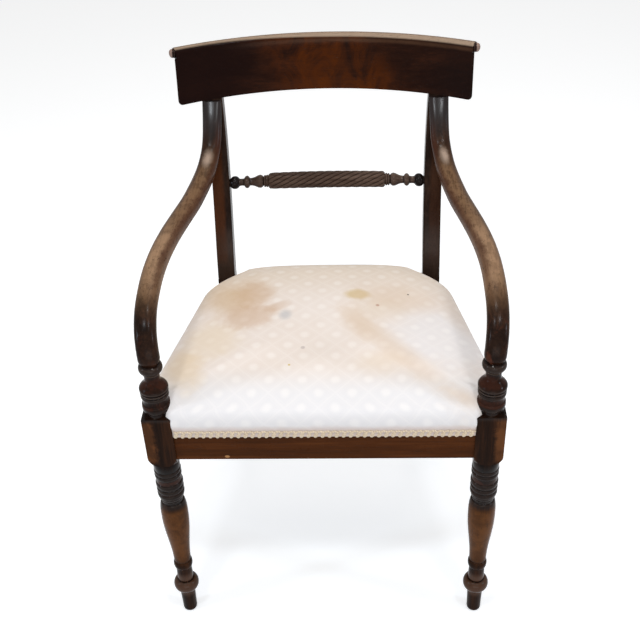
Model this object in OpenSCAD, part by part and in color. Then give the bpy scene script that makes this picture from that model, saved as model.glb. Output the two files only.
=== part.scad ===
// Rope back elbow chair: mahogany frame, turned front legs that run up into the
// arm supports, sabre back posts, curved tablet crest, carved rope rail and a
// stuffed over seat. Millimetres, Z up, the front of the chair faces -Y and the
// origin lies on the floor below the middle of the chair's box.

/* [Overall] */
// Height of the chair from the floor to the top of the crest roll
chair_height = 850; // [800:5:900]
// Depth from the front face of the leg blocks to the back of the crest roll
chair_depth = 594; // [580:2:620]
// Distance between the centres of the two front legs
front_leg_spacing = 508; // [490:2:530]
// Distance between the centres of the two back posts at the seat
back_post_spacing = 374; // [364:2:384]
// Height of the top of the seat rails
seat_frame_height = 443; // [430:1:455]

/* [Front legs] */
// Side of the square block that takes the seat rails
block_side = 45; // [45:0.5:48]
// Height of the block above the top of the seat rails
block_rise = 23; // [16:1:30]
// Drop of the block below the underside of the seat rails
block_drop = 13; // [10:1:16]
// Height over which the foot of the block turns from round to square
block_shoulder = 29; // [20:1:34]
// Largest radius of the turned leg and of the turned arm support
turned_radius = 22.3; // [21:0.1:22.4]
// Height of the turned arm support between the block and the arm
support_height = 94; // [88:1:104]
// Radius of the round tenon on top of the arm support
support_tenon_radius = 6.5; // [5:0.25:8]
// Length of the round tenon on top of the arm support
support_tenon_length = 20; // [14:1:24]

/* [Back posts] */
// Width of a back post across the chair
post_width = 31; // [28:0.5:33]
// Thickness of a back post from front to back at the seat
post_thickness = 30; // [28:0.5:32]
// Thickness of a back post under the crest rail
post_top_thickness = 24; // [20:0.5:26]
// Thickness of the sabre back leg at the floor
post_foot_thickness = 27; // [24:0.5:32]
// Distance from the middle of the front legs to the front face of the back posts at the seat
seat_span = 372; // [360:1:380]
// How far the back leg sweeps behind the seat joint at the floor
sabre_sweep = 66; // [50:1:76]
// How far each post leans outward between the seat and the crest
post_splay = 9; // [0:0.5:12]
// Radius that eases the edges of the posts above the seat
post_edge_radius = 3; // [1:0.5:5]

/* [Crest rail] */
// Plan radius of the crest rail, measured to the middle of its roll
crest_radius = 570; // [540:5:620]
// Width of the crest tablet across the chair
crest_width = 514; // [500:2:524]
// Height of the crest rail from its lower edge to the top of its roll
crest_height = 89; // [80:1:96]
// Radius of the roll along the top of the crest
crest_roll_radius = 9.5; // [8:0.25:11]
// How far the lower front edge stands in front of the middle of the roll
crest_rake = 37.5; // [30:0.5:42]
// Thickness of the crest tablet at its lower edge
crest_thickness = 25; // [22:0.5:28]
// Radius of the lower corners of the tablet
crest_corner_radius = 8; // [5:0.5:14]
// Radius of the turned button at each end of the roll
crest_button_radius = 8.4; // [6:0.2:9]
// How far each button stands out past the end of the roll
crest_button_length = 8.5; // [6:0.5:12]

/* [Rope rail] */
// Height of the rope rail as a share of the back between the seat frame and the crest
rope_rise_share = 0.56; // [0.4:0.005:0.7]
// Length of the carved rope between the turned ends
rope_length = 208; // [190:2:224]
// How far the middle of the rope rail bows back behind its ends
rope_bow = 8.5; // [0:0.5:12]
// Largest radius of the carved rope at its middle
rope_radius = 15; // [12:0.25:16]
// Number of strands in the carved rope
rope_strands = 10; // [8:1:11]
// Length along the rail in which a strand goes round once
rope_pitch = 160; // [130:5:190]
// Depth of the grooves between the strands
rope_groove = 2; // [1:0.1:2.6]
// Radius of the round tenon at each end of the rope rail
rope_tenon_radius = 4.5; // [3.5:0.25:6]
// Length of the round tenon at each end of the rope rail
rope_tenon_length = 13; // [9:1:16]

/* [Arms] */
// Width of an arm
arm_width = 33; // [30:0.5:34]
// Thickness of an arm
arm_thickness = 29; // [26:0.5:31]
// Thickness of an arm at its feathered upper end under the crest
arm_top_thickness = 11; // [9:0.5:14]
// Height of the arm's level stretch as a share of the space between its support and the crest
arm_rest_share = 0.453; // [0.4:0.01:0.52]
// How far the arm bows outward past the front leg
arm_bow = 5; // [0:0.5:6]

/* [Seat frame] */
// Height of the seat rails from their underside to their top
rail_height = 62; // [56:1:68]
// Thickness of the seat rails
rail_thickness = 24; // [21:0.5:26]
// Setback of the rail faces behind the faces of the blocks
rail_setback = 4; // [4:0.5:6]
// Thickness of the tenons on the seat rails
tenon_thickness = 9; // [7:0.5:10]
// Length of the tenons on the front and side rails at the front
tenon_length = 21; // [14:0.5:21]
// Length of the tenons of the side rails in the back posts
back_tenon_length = 15; // [12:0.5:16]
// Height of the corner blocks inside the seat frame
corner_block_height = 32; // [24:1:40]
// Length of a corner block along each rail
corner_block_length = 58; // [48:1:64]

/* [Seat upholstery] */
// Width of the seat webbing
webbing_width = 50; // [44:1:54]
// Thickness of the seat webbing
webbing_thickness = 1.6; // [1.2:0.1:2]
// Number of webs from front to back
long_web_count = 4; // [3:1:5]
// Number of webs across the seat
cross_web_count = 4; // [3:1:4]
// Thickness of the hessian over the webbing
hessian_thickness = 0.8; // [0.6:0.1:1.2]
// Height of the middle of the seat cover above the top of the seat rails
seat_crown_height = 61; // [50:1:68]
// Height of the seat cover above the rails just inside its rounded edge
seat_edge_height = 37; // [32:1:44]
// Thickness of the seat cover
cover_thickness = 1.2; // [1:0.1:1.6]
// Height of the gimp braid
gimp_height = 15.5; // [10:0.5:17]
// Thickness of the gimp braid
gimp_thickness = 1.8; // [1.5:0.1:2]
// Length of one scallop of the gimp braid
gimp_scallop = 10.5; // [8:0.5:14]
// Thickness of the bottom cloth under the seat
bottom_cloth_thickness = 0.7; // [0.5:0.1:1]

/* [Fixings] */
// Radius of the shank of the screws
screw_radius = 2; // [1.5:0.1:2.5]
// Radius of the heads of the screws
screw_head_radius = 4; // [3.5:0.1:4.5]
// Length of the screws in the corner blocks
corner_screw_length = 38; // [34:1:40]
// Length of the screws that hold the arms
arm_screw_length = 30; // [26:1:32]
// Radius of the wooden plugs over the arm screws
plug_radius = 4.6; // [4.4:0.1:5.2]
// Radius of the heads of the tacks
tack_head_radius = 2.6; // [2:0.1:3]
// Length of the shanks of the tacks
tack_length = 9; // [7:0.5:11]

/* [Hidden] */
$fn = 72;
mahogany = [0.29, 0.13, 0.07];
beech = [0.72, 0.56, 0.38];
steel = [0.55, 0.55, 0.57];
damask = [0.9, 0.84, 0.76];
// Clearances, and the overrun that every cut runs past its face
joint_clearance = 0.1;
soft_clearance = 0.3;
overrun = 1;

// Places that follow from the driving dimensions
leg_x = front_leg_spacing / 2;
block_half = block_side / 2;
leg_y = block_half - chair_depth / 2;
block_back = leg_y + block_half;
rail_bottom = seat_frame_height - rail_height;
block_bottom = rail_bottom - block_drop;
block_top = seat_frame_height + block_rise;
support_top = block_top + support_height;
post_x = back_post_spacing / 2;
post_face = leg_y + seat_span;
post_half = post_width / 2;
roll_height = chair_height - crest_roll_radius;
crest_bottom = chair_height - crest_height;
rope_height = seat_frame_height + rope_rise_share * (crest_bottom - seat_frame_height);
arm_rest_height = support_top + arm_rest_share * (crest_bottom - support_top);
crest_axis = chair_depth / 2 - crest_roll_radius - crest_radius;
crest_front_radius = crest_radius - crest_rake;
crest_half_angle = asin(crest_width / 2 / crest_radius);

// The turned leg, from the floor to the block, and the turned arm support above the
// block. Heights are shares of the turning's own height, radii shares of the turned radius.
foot_share = 0.55;
peg_share = 0.585;
neck_share = 0.6;
ball_share = 0.39;
bulb_share = 1.0;
waist_share = 0.8;
reed_share = 0.93;
drum_share = 0.95;

// A round bead between two heights, as points of [radius, height]
function bead(low, high, base, swell, steps = 10) = [for (i = [0:steps])
    let (a = 180 * i / steps) [base + swell * sin(a), (low + high) / 2 - (high - low) / 2 * cos(a)]];
// A smooth S between two radii
function ogee(low, high, from_radius, to_radius, steps = 12) = [for (i = [0:steps])
    let (t = i / steps, swing = (1 - cos(180 * t)) / 2)
    [from_radius + (to_radius - from_radius) * swing, low + (high - low) * t]];
// A quarter round that closes from a wide radius to a narrow one
function dome(low, high, wide, narrow, steps = 9) = [for (i = [0:steps])
    let (a = 90 * i / steps) [narrow + (wide - narrow) * cos(a), low + (high - low) * sin(a)]];

// The turned leg below the block
function leg_outline() = let (h = block_bottom, r = turned_radius) concat(
    [[0, 0], [0.46 * r, 0]],
    [[0.52 * r, 0.004 * h], [foot_share * r, 0.013 * h]],
    ogee(0.02 * h, 0.138 * h, foot_share * r, peg_share * r, 5),
    bead(0.149 * h, 0.215 * h, peg_share * r, ball_share * r, 16),
    ogee(0.224 * h, 0.288 * h, (neck_share + 0.02) * r, neck_share * r, 5),
    bead(0.303 * h, 0.348 * h, (neck_share + 0.01) * r, 0.115 * r, 8),
    ogee(0.356 * h, 0.65 * h, (neck_share + 0.05) * r, bulb_share * r, 24),
    dome(0.674 * h, 0.749 * h, bulb_share * r, waist_share * r),
    ogee(0.757 * h, 0.786 * h, waist_share * r, reed_share * r, 6),
    bead(0.789 * h, 0.814 * h, reed_share * r, 0.06 * r, 8),
    bead(0.818 * h, 0.841 * h, reed_share * r, 0.06 * r, 8),
    bead(0.845 * h, 0.875 * h, reed_share * r, 0.07 * r, 8),
    [[reed_share * r, 0.878 * h], [(reed_share - 0.01) * r, 0.889 * h], [reed_share * r, 0.899 * h]],
    bead(0.902 * h, 0.924 * h, reed_share * r, 0.05 * r, 8),
    bead(0.927 * h, 0.948 * h, reed_share * r, 0.05 * r, 8),
    [[drum_share * r, 0.952 * h], [drum_share * r, h + overrun], [0, h + overrun]]);

// The turned arm support above the block
function support_outline() = let (h = support_height, r = turned_radius) [for (p = concat(
    [[0, -overrun / h], [0.92, -overrun / h], [0.92, 0.07]],
    bead(0.075, 0.225, 0.9, 0.09, 10),
    [[0.885, 0.235], [0.875, 0.277], [0.885, 0.32]],
    bead(0.33, 0.405, 0.9, 0.07, 8),
    bead(0.42, 0.46, 0.92, 0.06, 6),
    [[0.93, 0.47], [0.99, 0.485]],
    ogee(0.51, 0.69, 1, 0.535, 16),
    [[0.535, 0.785]],
    bead(0.8, 0.83, 0.55, 0.08, 6),
    bead(0.845, 0.985, 0.66, 0.165, 10),
    [[0.62, 0.99], [0.62, 1], [0, 1]])) [p[0] * r, p[1] * h]];

// Envelope in which the foot of the square block swells out of the round of the turning
shoulder_steps = 10;
function shoulder_outline() = let (drum = drum_share * turned_radius, corner = 1.45 * block_half) concat(
    [[0, block_bottom]],
    [for (i = [0:shoulder_steps]) let (a = 90 * i / shoulder_steps)
        [drum + (corner - drum) * sin(a), block_bottom + block_shoulder * (1 - cos(a))]],
    [[block_side, block_bottom + block_shoulder], [block_side, block_top], [0, block_top]]);

// Outer line of a side rail in plan: half the chair's width at a given depth
side_rail_front = leg_x + block_half - rail_setback / 2;
side_rail_back = post_x + post_half - rail_setback / 2;
side_slope = (side_rail_front - side_rail_back) / (post_face - block_back);
function side_line(y) = side_rail_front - side_slope * (y - block_back);
front_rail_face = leg_y - block_half + rail_setback;
back_rail_face = post_face + (post_thickness + rail_thickness) / 2;
side_tenon_front = side_line(block_back) - rail_thickness / 2;
side_tenon_back = side_line(post_face) - rail_thickness / 2 + rail_setback / 2;
tenon_shoulder = rail_height / 8;

// Front face of a back post: straight at the seat joint, swept back above and below it
post_flat_low = rail_bottom;
post_flat_high = seat_frame_height + tack_length;
post_lean_share = 1.25;
crest_seat_depth = post_top_thickness / 24;
post_top_x = post_x + post_splay;
post_top_face = crest_axis + sqrt(pow(crest_front_radius, 2) - pow(post_top_x, 2)) + crest_seat_depth;
function post_rise(z) = (z - post_flat_high) / (crest_bottom - post_flat_high);
function post_front(z) = z < post_flat_low ? post_face + sabre_sweep * pow(1 - z / post_flat_low, 2)
    : z <= post_flat_high ? post_face
    : post_face + (post_top_face - post_face) * pow(post_rise(z), post_lean_share);
function post_thick(z) = z < post_flat_low
    ? post_thickness + (post_foot_thickness - post_thickness) * (1 - z / post_flat_low)
    : z <= post_flat_high ? post_thickness
    : post_thickness + (post_top_thickness - post_thickness) * post_rise(z);
function post_middle(z) = z <= post_flat_high ? post_x : post_x + post_splay * pow(post_rise(z), 3);
function post_slope(z) = (post_front(z + overrun) - post_front(max(z - overrun, 0)))
    / (z < overrun ? overrun : 2 * overrun);
function post_back(z) = post_front(z) + post_thick(z) * sqrt(1 + pow(post_slope(z), 2));

// A closed solid through rings of points that all have the same count
function ring_faces(rings, sides, first = 0) = [for (i = [0:rings - 2], j = [0:sides - 1], k = [0:1])
    let (a = first + i * sides + j, b = first + i * sides + (j + 1) % sides)
    k == 0 ? [a, a + sides, b] : [b, a + sides, b + sides]];
function middle(ring) = [for (k = [0:2]) sum([for (p = ring) p[k]]) / len(ring)];
function sum(values, i = 0) = i == len(values) ? 0 : values[i] + sum(values, i + 1);
module loft(rings) {
    sides = len(rings[0]);
    last = (len(rings) - 1) * sides;
    count = len(rings) * sides;
    polyhedron(
        points = concat([for (ring = rings) each ring], [middle(rings[0]), middle(rings[len(rings) - 1])]),
        faces = concat(
            [for (j = [0:sides - 1]) [j, (j + 1) % sides, count]],
            ring_faces(len(rings), sides),
            [for (j = [0:sides - 1]) [last + (j + 1) % sides, last + j, count + 1]]));
}

// One level section of a back post, its corners eased by a radius
function post_section(z, ease, corner_steps = 3) = let (
    half = post_half - ease,
    low = post_front(z) + ease,
    high = post_back(z) - ease,
    corners = [[half, low, -90], [half, high, 0], [-half, high, 90], [-half, low, 180]])
    [for (c = corners, i = [corner_steps:-1:0])
        let (a = c[2] + 90 * (corner_steps - i) / corner_steps)
        [post_middle(z) + c[0] + ease * cos(a), c[1] + ease * sin(a), z]];
post_square_ease = post_edge_radius / 4;
post_stop_share = 0.25;
post_stop_height = post_flat_high + (block_top - seat_frame_height) * post_stop_share;
leg_steps = 11;
upright_steps = 13;
module post_blank() {
    low_rings = [for (i = [0:leg_steps]) post_section(post_flat_low * i / leg_steps, post_square_ease)];
    mid_rings = [post_section(post_flat_high, post_square_ease),
        post_section(post_stop_height - post_square_ease, post_square_ease)];
    high_rings = [for (i = [0:upright_steps])
        let (z = post_stop_height + (crest_bottom - post_stop_height) * i / upright_steps)
        post_section(z, post_edge_radius)];
    loft(concat(low_rings, mid_rings, high_rings));
}

// The tenon that stands on a post and enters the crest
crest_tenon_width = post_width * 0.5;
crest_tenon_depth = post_top_thickness * 0.4;
crest_tenon_length = crest_height * 0.16;
crest_tenon_y = post_top_face + post_top_thickness * 0.73;
module crest_tenon(clearance = 0, length = crest_tenon_length) {
    width = crest_tenon_width + 2 * clearance;
    depth = crest_tenon_depth + 2 * clearance;
    translate([post_top_x, crest_tenon_y, crest_bottom + length / 2 - overrun / 2])
        cube([width, depth, length + overrun], center = true);
}

// Tenons of the seat rails, used to make both the tenon and its mortise
module front_tenon(clearance = 0) {
    x = leg_x - block_half;
    translate([x - overrun, front_rail_face + rail_thickness / 2 - tenon_thickness / 2 - clearance,
        rail_bottom + tenon_shoulder - clearance])
        cube([tenon_length + overrun + clearance, tenon_thickness + 2 * clearance,
            rail_height - 2 * tenon_shoulder + 2 * clearance]);
}
module side_front_tenon(clearance = 0) {
    translate([side_tenon_front - tenon_thickness / 2 - clearance, block_back - tenon_length - clearance,
        rail_bottom + tenon_shoulder - clearance])
        cube([tenon_thickness + 2 * clearance, tenon_length + overrun + clearance,
            rail_height - 2 * tenon_shoulder + 2 * clearance]);
}
module side_back_tenon(clearance = 0) {
    translate([side_tenon_back - tenon_thickness / 2 - clearance, post_face - overrun,
        rail_bottom + tenon_shoulder - clearance])
        cube([tenon_thickness + 2 * clearance, back_tenon_length + overrun + clearance,
            rail_height - 2 * tenon_shoulder + 2 * clearance]);
}
back_rail_tenon_length = post_half - tenon_thickness / 2;
module back_tenon(clearance = 0) {
    x = post_x - post_half;
    translate([x - overrun, back_rail_face - rail_thickness / 2 - tenon_thickness / 2 - clearance,
        rail_bottom + tenon_shoulder - clearance])
        cube([back_rail_tenon_length + overrun + clearance, tenon_thickness + 2 * clearance,
            rail_height - 2 * tenon_shoulder + 2 * clearance]);
}

// The screw that holds an arm, driven forward through the back of the post
arm_screw_height = crest_bottom - crest_height * 0.42;
arm_screw_x = post_middle(arm_screw_height);
arm_screw_back = post_front(arm_screw_height) + post_thick(arm_screw_height) * 0.72;
module screw(length) {
    head = screw_head_radius - screw_radius;
    tip = 2 * screw_radius;
    union() {
        cylinder(r1 = screw_head_radius, r2 = screw_radius, h = head);
        cylinder(r = screw_radius, h = length - tip);
        translate([0, 0, length - tip]) cylinder(r1 = screw_radius, r2 = joint_clearance, h = tip);
    }
}
module screw_hole(length, counterbore, bore_radius) {
    head = screw_head_radius - screw_radius;
    union() {
        cylinder(r = screw_radius + joint_clearance, h = length + joint_clearance);
        cylinder(r1 = screw_head_radius + joint_clearance, r2 = screw_radius + joint_clearance, h = head);
        translate([0, 0, -counterbore]) cylinder(r = bore_radius, h = counterbore + joint_clearance);
    }
}
module at_arm_screw() {
    translate([arm_screw_x, arm_screw_back, arm_screw_height]) rotate([90, 0, 0]) children();
}

module front_leg() {
    color(mahogany) difference() {
        union() {
            rotate_extrude() polygon(leg_outline());
            translate([0, 0, block_top]) rotate_extrude() polygon(support_outline());
            intersection() {
                translate([-block_half, -block_half, block_bottom])
                    cube([block_side, block_side, block_top - block_bottom]);
                rotate_extrude() polygon(shoulder_outline());
            }
            translate([0, 0, support_top - overrun])
                cylinder(r = support_tenon_radius, h = support_tenon_length + overrun);
        }
        translate([-leg_x, -leg_y, 0]) {
            front_tenon(joint_clearance);
            side_front_tenon(joint_clearance);
        }
    }
}
// The left leg is the right one mirrored across the chair
module front_leg_right() {
    translate([leg_x, leg_y, 0]) front_leg();
}
module front_leg_left() {
    mirror([1, 0, 0]) front_leg_right();
}
module back_post_right() {
    color(mahogany) difference() {
        union() {
            post_blank();
            crest_tenon();
        }
        side_back_tenon(joint_clearance);
        back_tenon(joint_clearance);
        rope_mortise();
        at_arm_screw() screw_hole(arm_screw_length, post_thickness, plug_radius);
    }
}
module back_post_left() {
    mirror([1, 0, 0]) back_post_right();
}

// The crest: a tablet with a roll along its top, bent to an arc in plan
roll_start = 182;
roll_end = -30;
roll_steps = 26;
function crest_section() = let (
    back = crest_thickness - crest_rake,
    h = crest_height,
    roll = crest_roll_radius) concat(
    [[-crest_rake, 0], [-crest_rake * 0.72, 0.27 * h], [-crest_rake * 0.5, 0.5 * h],
        [-crest_rake * 0.36, 0.68 * h], [-roll - crest_rake * 0.045, 0.8 * h]],
    [for (i = [0:roll_steps]) let (a = roll_start + (roll_end - roll_start) * i / roll_steps)
        [roll * cos(a), h - roll + roll * sin(a)]],
    [[roll * 0.45, 0.72 * h], [back * 0.2, 0.5 * h], [back * 0.62, 0.25 * h], [back, 0]]);
// The arc is made too long, then its ends are cut off
crest_spare_angle = 2.4;
module crest_arc() {
    half_angle = crest_half_angle + crest_spare_angle;
    rotate([0, 0, 90 - half_angle]) rotate_extrude(angle = 2 * half_angle, $fn = 360)
        translate([crest_radius, crest_bottom]) children();
}
// The ends of the tablet lie nearly square to the chair, with rounded lower corners
crest_end_angle = 6;
crest_end_x = 0.9825 * crest_width / 2;
crest_end_y = crest_axis + sqrt(pow(crest_front_radius, 2) - pow(crest_end_x, 2));
crest_end_top = crest_height * 0.8;
corner_steps = 8;
module crest_end_cut() {
    r = crest_corner_radius;
    translate([crest_end_x, crest_end_y, crest_bottom]) rotate([0, 0, -crest_end_angle])
        translate([0, crest_height, 0]) rotate([90, 0, 0]) linear_extrude(height = 2 * crest_height)
        polygon(concat(
            [for (i = [0:corner_steps]) let (a = 90 * i / corner_steps - 90)
                [r * cos(a) - r, r + r * sin(a)]],
            [[0, crest_end_top], [crest_height, crest_end_top], [crest_height, -overrun], [-r, -overrun]]));
}
// The ends of the roll are cut square to the roll, for the buttons
module roll_end_cut() {
    translate([0, crest_axis, 0]) rotate([0, 0, -crest_half_angle])
        translate([0, crest_radius - crest_height / 2, crest_bottom + crest_end_top])
        cube([crest_height, crest_height, crest_height]);
}
// The button's peg runs into the end of the roll
button_peg_radius = crest_button_radius * 0.45;
button_peg_length = crest_button_length * 1.2;
module at_roll_end() {
    translate([0, crest_axis, 0]) rotate([0, 0, -crest_half_angle])
        translate([0, crest_radius, roll_height]) rotate([0, 90, 0]) children();
}
module crest_rail() {
    color(mahogany) difference() {
        translate([0, crest_axis, 0]) crest_arc() polygon(crest_section());
        for (side = [0, 1]) mirror([side, 0, 0]) {
            crest_end_cut();
            roll_end_cut();
            crest_tenon(joint_clearance, crest_tenon_length + 2 * joint_clearance);
            at_roll_end() translate([0, 0, -button_peg_length - joint_clearance])
                cylinder(r = button_peg_radius + joint_clearance, h = button_peg_length + overrun);
        }
    }
}
module crest_buttons() {
    r = crest_button_radius;
    l = crest_button_length;
    color(mahogany) for (side = [0, 1]) mirror([side, 0, 0]) at_roll_end() union() {
        translate([0, 0, -button_peg_length])
            cylinder(r = button_peg_radius, h = button_peg_length + overrun);
        translate([0, 0, joint_clearance]) rotate_extrude() polygon(concat(
            [[0, 0], [0.86 * r, 0]],
            bead(0.02 * l, 0.34 * l, 0.84 * r, 0.16 * r, 8),
            [[0.8 * r, 0.4 * l]],
            dome(0.46 * l, l, 0.9 * r, 0.3 * r, 8),
            [[0.22 * r, 0.92 * l], [0, 0.92 * l]]));
    }
}

// The rope rail: turned ends with a carved rope between them
rope_y = post_front(rope_height) + post_thick(rope_height) * 0.5;
rope_end = post_middle(rope_height) - post_half;
rope_turning = rope_end - rope_length / 2;
function rope_middle(x) = rope_y + rope_bow * max(0, 1 - pow(x / rope_end, 2));
module rope_mortise() {
    translate([rope_end - overrun, rope_y, rope_height]) rotate([0, 90, 0])
        cylinder(r = rope_tenon_radius + joint_clearance, h = rope_tenon_length + overrun + joint_clearance);
}
// Outline of a turned end, from the rope out to the post, in shares of its length and of the
// rope's radius. The inner swelling has the shape of a vase.
rope_vase_shares = [[0.52, 0.13], [0.66, 0.155], [0.75, 0.185], [0.785, 0.225], [0.75, 0.27],
    [0.67, 0.31], [0.58, 0.35], [0.5, 0.395], [0.46, 0.44], [0.45, 0.48]];
function rope_end_outline() = let (h = rope_turning, r = rope_radius) [for (p = concat(
    bead(0.01, 0.065, 0.66, 0.1, 4),
    bead(0.07, 0.12, 0.64, 0.1, 4),
    rope_vase_shares,
    bead(0.495, 0.63, 0.5, 0.26, 6),
    [[0.44, 0.65], [0.42, 0.7], [0.44, 0.75]],
    bead(0.765, 0.985, 0.46, 0.32, 8),
    [[0.5, 1]])) [p[0] * r, p[1] * h]];
rope_end_share = 0.965;
rope_chamfer = rope_radius / 7;
rope_step = 18;
strand_points = 3;
rope_points = strand_points * rope_strands;
function rope_circle(x, lay, radii) = [for (j = [0:rope_points - 1]) let (a = 360 * j / rope_points + lay)
    [x, rope_middle(x) - radii[j % strand_points] * cos(a), rope_height + radii[j % strand_points] * sin(a)]];
// One ring of the rope at a distance along it, a few points to each strand
function rope_ring(x) = let (
    along = 1 - pow(2 * x / rope_length, 2),
    near_end = (rope_length / 2 - abs(x)) / rope_chamfer,
    body = rope_radius * (rope_end_share + (1 - rope_end_share) * along)
        - (near_end < 1 ? rope_chamfer * (1 - near_end) : 0))
    rope_circle(x, 360 * x / rope_pitch,
        [for (j = [0:strand_points - 1]) body - rope_groove * (1 - sin(180 * j / strand_points))]);
rope_rings = ceil(rope_length / rope_pitch * 360 / rope_step);
function rope_stations() = concat([-rope_length / 2],
    [for (i = [0:rope_rings]) (rope_length / 2 - rope_chamfer) * (2 * i / rope_rings - 1)],
    [rope_length / 2]);
function turned_ring(p, side) = rope_circle(
    side * (rope_length / 2 + p[1]), side * 180 * rope_length / rope_pitch,
    [for (j = [1:strand_points]) p[0]]);
module rope_rail() {
    outline = concat(rope_end_outline(),
        [[rope_tenon_radius, rope_turning], [rope_tenon_radius, rope_turning + rope_tenon_length]]);
    last = len(outline) - 1;
    color(mahogany) loft(concat([for (i = [last:-1:0]) turned_ring(outline[i], -1)],
        [for (x = rope_stations()) rope_ring(x)],
        [for (i = [0:last]) turned_ring(outline[i], 1)]));
}

// Path of an arm from its support up to the crest. Each row holds six shares: how far it has
// come inward, its bow, how far back, how far up to the level stretch, its rise to the crest,
// and its thickness between the feathered end and the full arm.
arm_shares = [
    [0, 0, 0, -0.2, 0, 1],
    [0, 0, 0, 0, 0, 1],
    [0, 0.35, 0.012, 0.25, 0, 1],
    [0, 0.75, 0.041, 0.478, 0, 1],
    [0, 1, 0.093, 0.674, 0, 1],
    [0, 1, 0.166, 0.793, 0, 1],
    [0.018, 1, 0.257, 0.864, 0, 1],
    [0.093, 1, 0.357, 0.908, 0, 1],
    [0.228, 1, 0.454, 0.941, 0, 1],
    [0.405, 0.9, 0.553, 0.967, 0, 1],
    [0.589, 0.7, 0.648, 1, 0, 1],
    [0.691, 0.5, 0.717, 1, 0.033, 1],
    [0.779, 0.3, 0.782, 1, 0.076, 1],
    [0.861, 0.15, 0.845, 1, 0.15, 1],
    [0.926, 0, 0.903, 1, 0.287, 0.967],
    [0.981, 0, 0.932, 1, 0.486, 0.613],
    [1, 0, 0.966, 1, 0.757, 0.339],
    [1, 0, 1, 1, 1, 0],
    [1, 0, 1.03, 1, 1.24, 0]];
arm_points = 20;
arm_steps = 3;
arm_square_share = 2.6;
arm_end_share = 0.8;
arm_end_length = arm_thickness / 6;
arm_top_x = post_top_x + (arm_width - post_width);
arm_top_y = post_top_face - arm_top_thickness / 2;
function arm_place(row) = [
    leg_x + arm_bow * row[1] - row[0] * (leg_x - arm_top_x),
    leg_y + row[2] * (arm_top_y - leg_y),
    support_top + row[3] * (arm_rest_height - support_top) + row[4] * (crest_bottom - arm_rest_height),
    arm_top_thickness + row[5] * (arm_thickness - arm_top_thickness)];
function spline(a, b, c, d, t) = b + (c - a) * t / 2
    + (2 * a - 5 * b + 4 * c - d) * t * t / 2 + (3 * b - a - 3 * c + d) * t * t * t / 2;
arm_spans = len(arm_shares) - 3;
function arm_at(u) = let (i = min(floor(u), arm_spans - 1), t = u - i)
    spline(arm_place(arm_shares[i]), arm_place(arm_shares[i + 1]),
        arm_place(arm_shares[i + 2]), arm_place(arm_shares[i + 3]), t);
function unit(v) = v / norm(v);
function signed_power(v, share) = sign(v) * pow(abs(v), share);
// Section of the arm at a place on its path, square to the path
function arm_ring(u) = let (
    here = arm_at(u),
    step = 1 / (4 * arm_steps),
    ahead = arm_at(u + step),
    behind = arm_at(max(u - step, 0)),
    along = u <= 0 ? [0, 0, 1] : unit([for (k = [0:2]) ahead[k] - behind[k]]),
    side = unit([1, 0, 0] - along[0] * along),
    up = cross(side, along),
    low = min(1, (here[2] - support_top) / arm_end_length),
    ease = arm_end_share + (1 - arm_end_share) * sin(90 * low))
    [for (j = [0:arm_points - 1]) let (
        a = 360 * (j + 0.5) / arm_points,
        across = signed_power(cos(a), 2 / arm_square_share) * arm_width / 2 * ease,
        over = signed_power(sin(a), 2 / arm_square_share) * here[3] / 2 * ease)
        [here[0], here[1], here[2]] + across * side + over * up];
module arm_blank() {
    loft(concat([arm_ring(0), arm_ring(0.04), arm_ring(0.12)],
        [for (i = [1:(arm_spans * arm_steps)]) arm_ring(i / arm_steps)]));
}
// What the post and the crest take away from the arm's blank
module arm_trim() {
    back = post_top_face + 2 * post_thickness;
    top = chair_height;
    heights = [for (i = [upright_steps:-1:0])
        post_stop_height + (crest_bottom - post_stop_height) * i / upright_steps];
    rotate([90, 0, 90]) linear_extrude(height = front_leg_spacing)
        polygon(concat([[post_face, crest_bottom - joint_clearance]],
            [for (z = heights) [post_front(z) - joint_clearance, min(z, crest_bottom - joint_clearance)]],
            [[back, post_stop_height], [back, top], [post_face, top]]));
}
module arm_right() {
    color(mahogany) difference() {
        arm_blank();
        arm_trim();
        translate([leg_x, leg_y, support_top - overrun]) cylinder(
            r = support_tenon_radius + joint_clearance,
            h = support_tenon_length + overrun + joint_clearance);
        at_arm_screw() screw_hole(arm_screw_length, 0, screw_radius);
    }
}
module arm_left() {
    mirror([1, 0, 0]) arm_right();
}
module arm_screws() {
    color(steel) for (side = [0, 1]) mirror([side, 0, 0]) at_arm_screw() screw(arm_screw_length);
}
// Each plug fills the counterbore behind its screw, trimmed level with the sloping back of the post
plug_length = post_back(arm_screw_height) - arm_screw_back - joint_clearance;
plug_angle = atan(post_slope(arm_screw_height));
module arm_plugs() {
    color(mahogany) for (side = [0, 1]) mirror([side, 0, 0]) at_arm_screw() intersection() {
        translate([0, 0, -2 * plug_length])
            cylinder(r = plug_radius - joint_clearance / 2, h = 2 * plug_length - joint_clearance);
        translate([0, 0, -plug_length]) rotate([-plug_angle, 0, 0]) translate([-post_half, -post_half, 0])
            cube([post_width, post_width, post_thickness]);
    }
}

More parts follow.
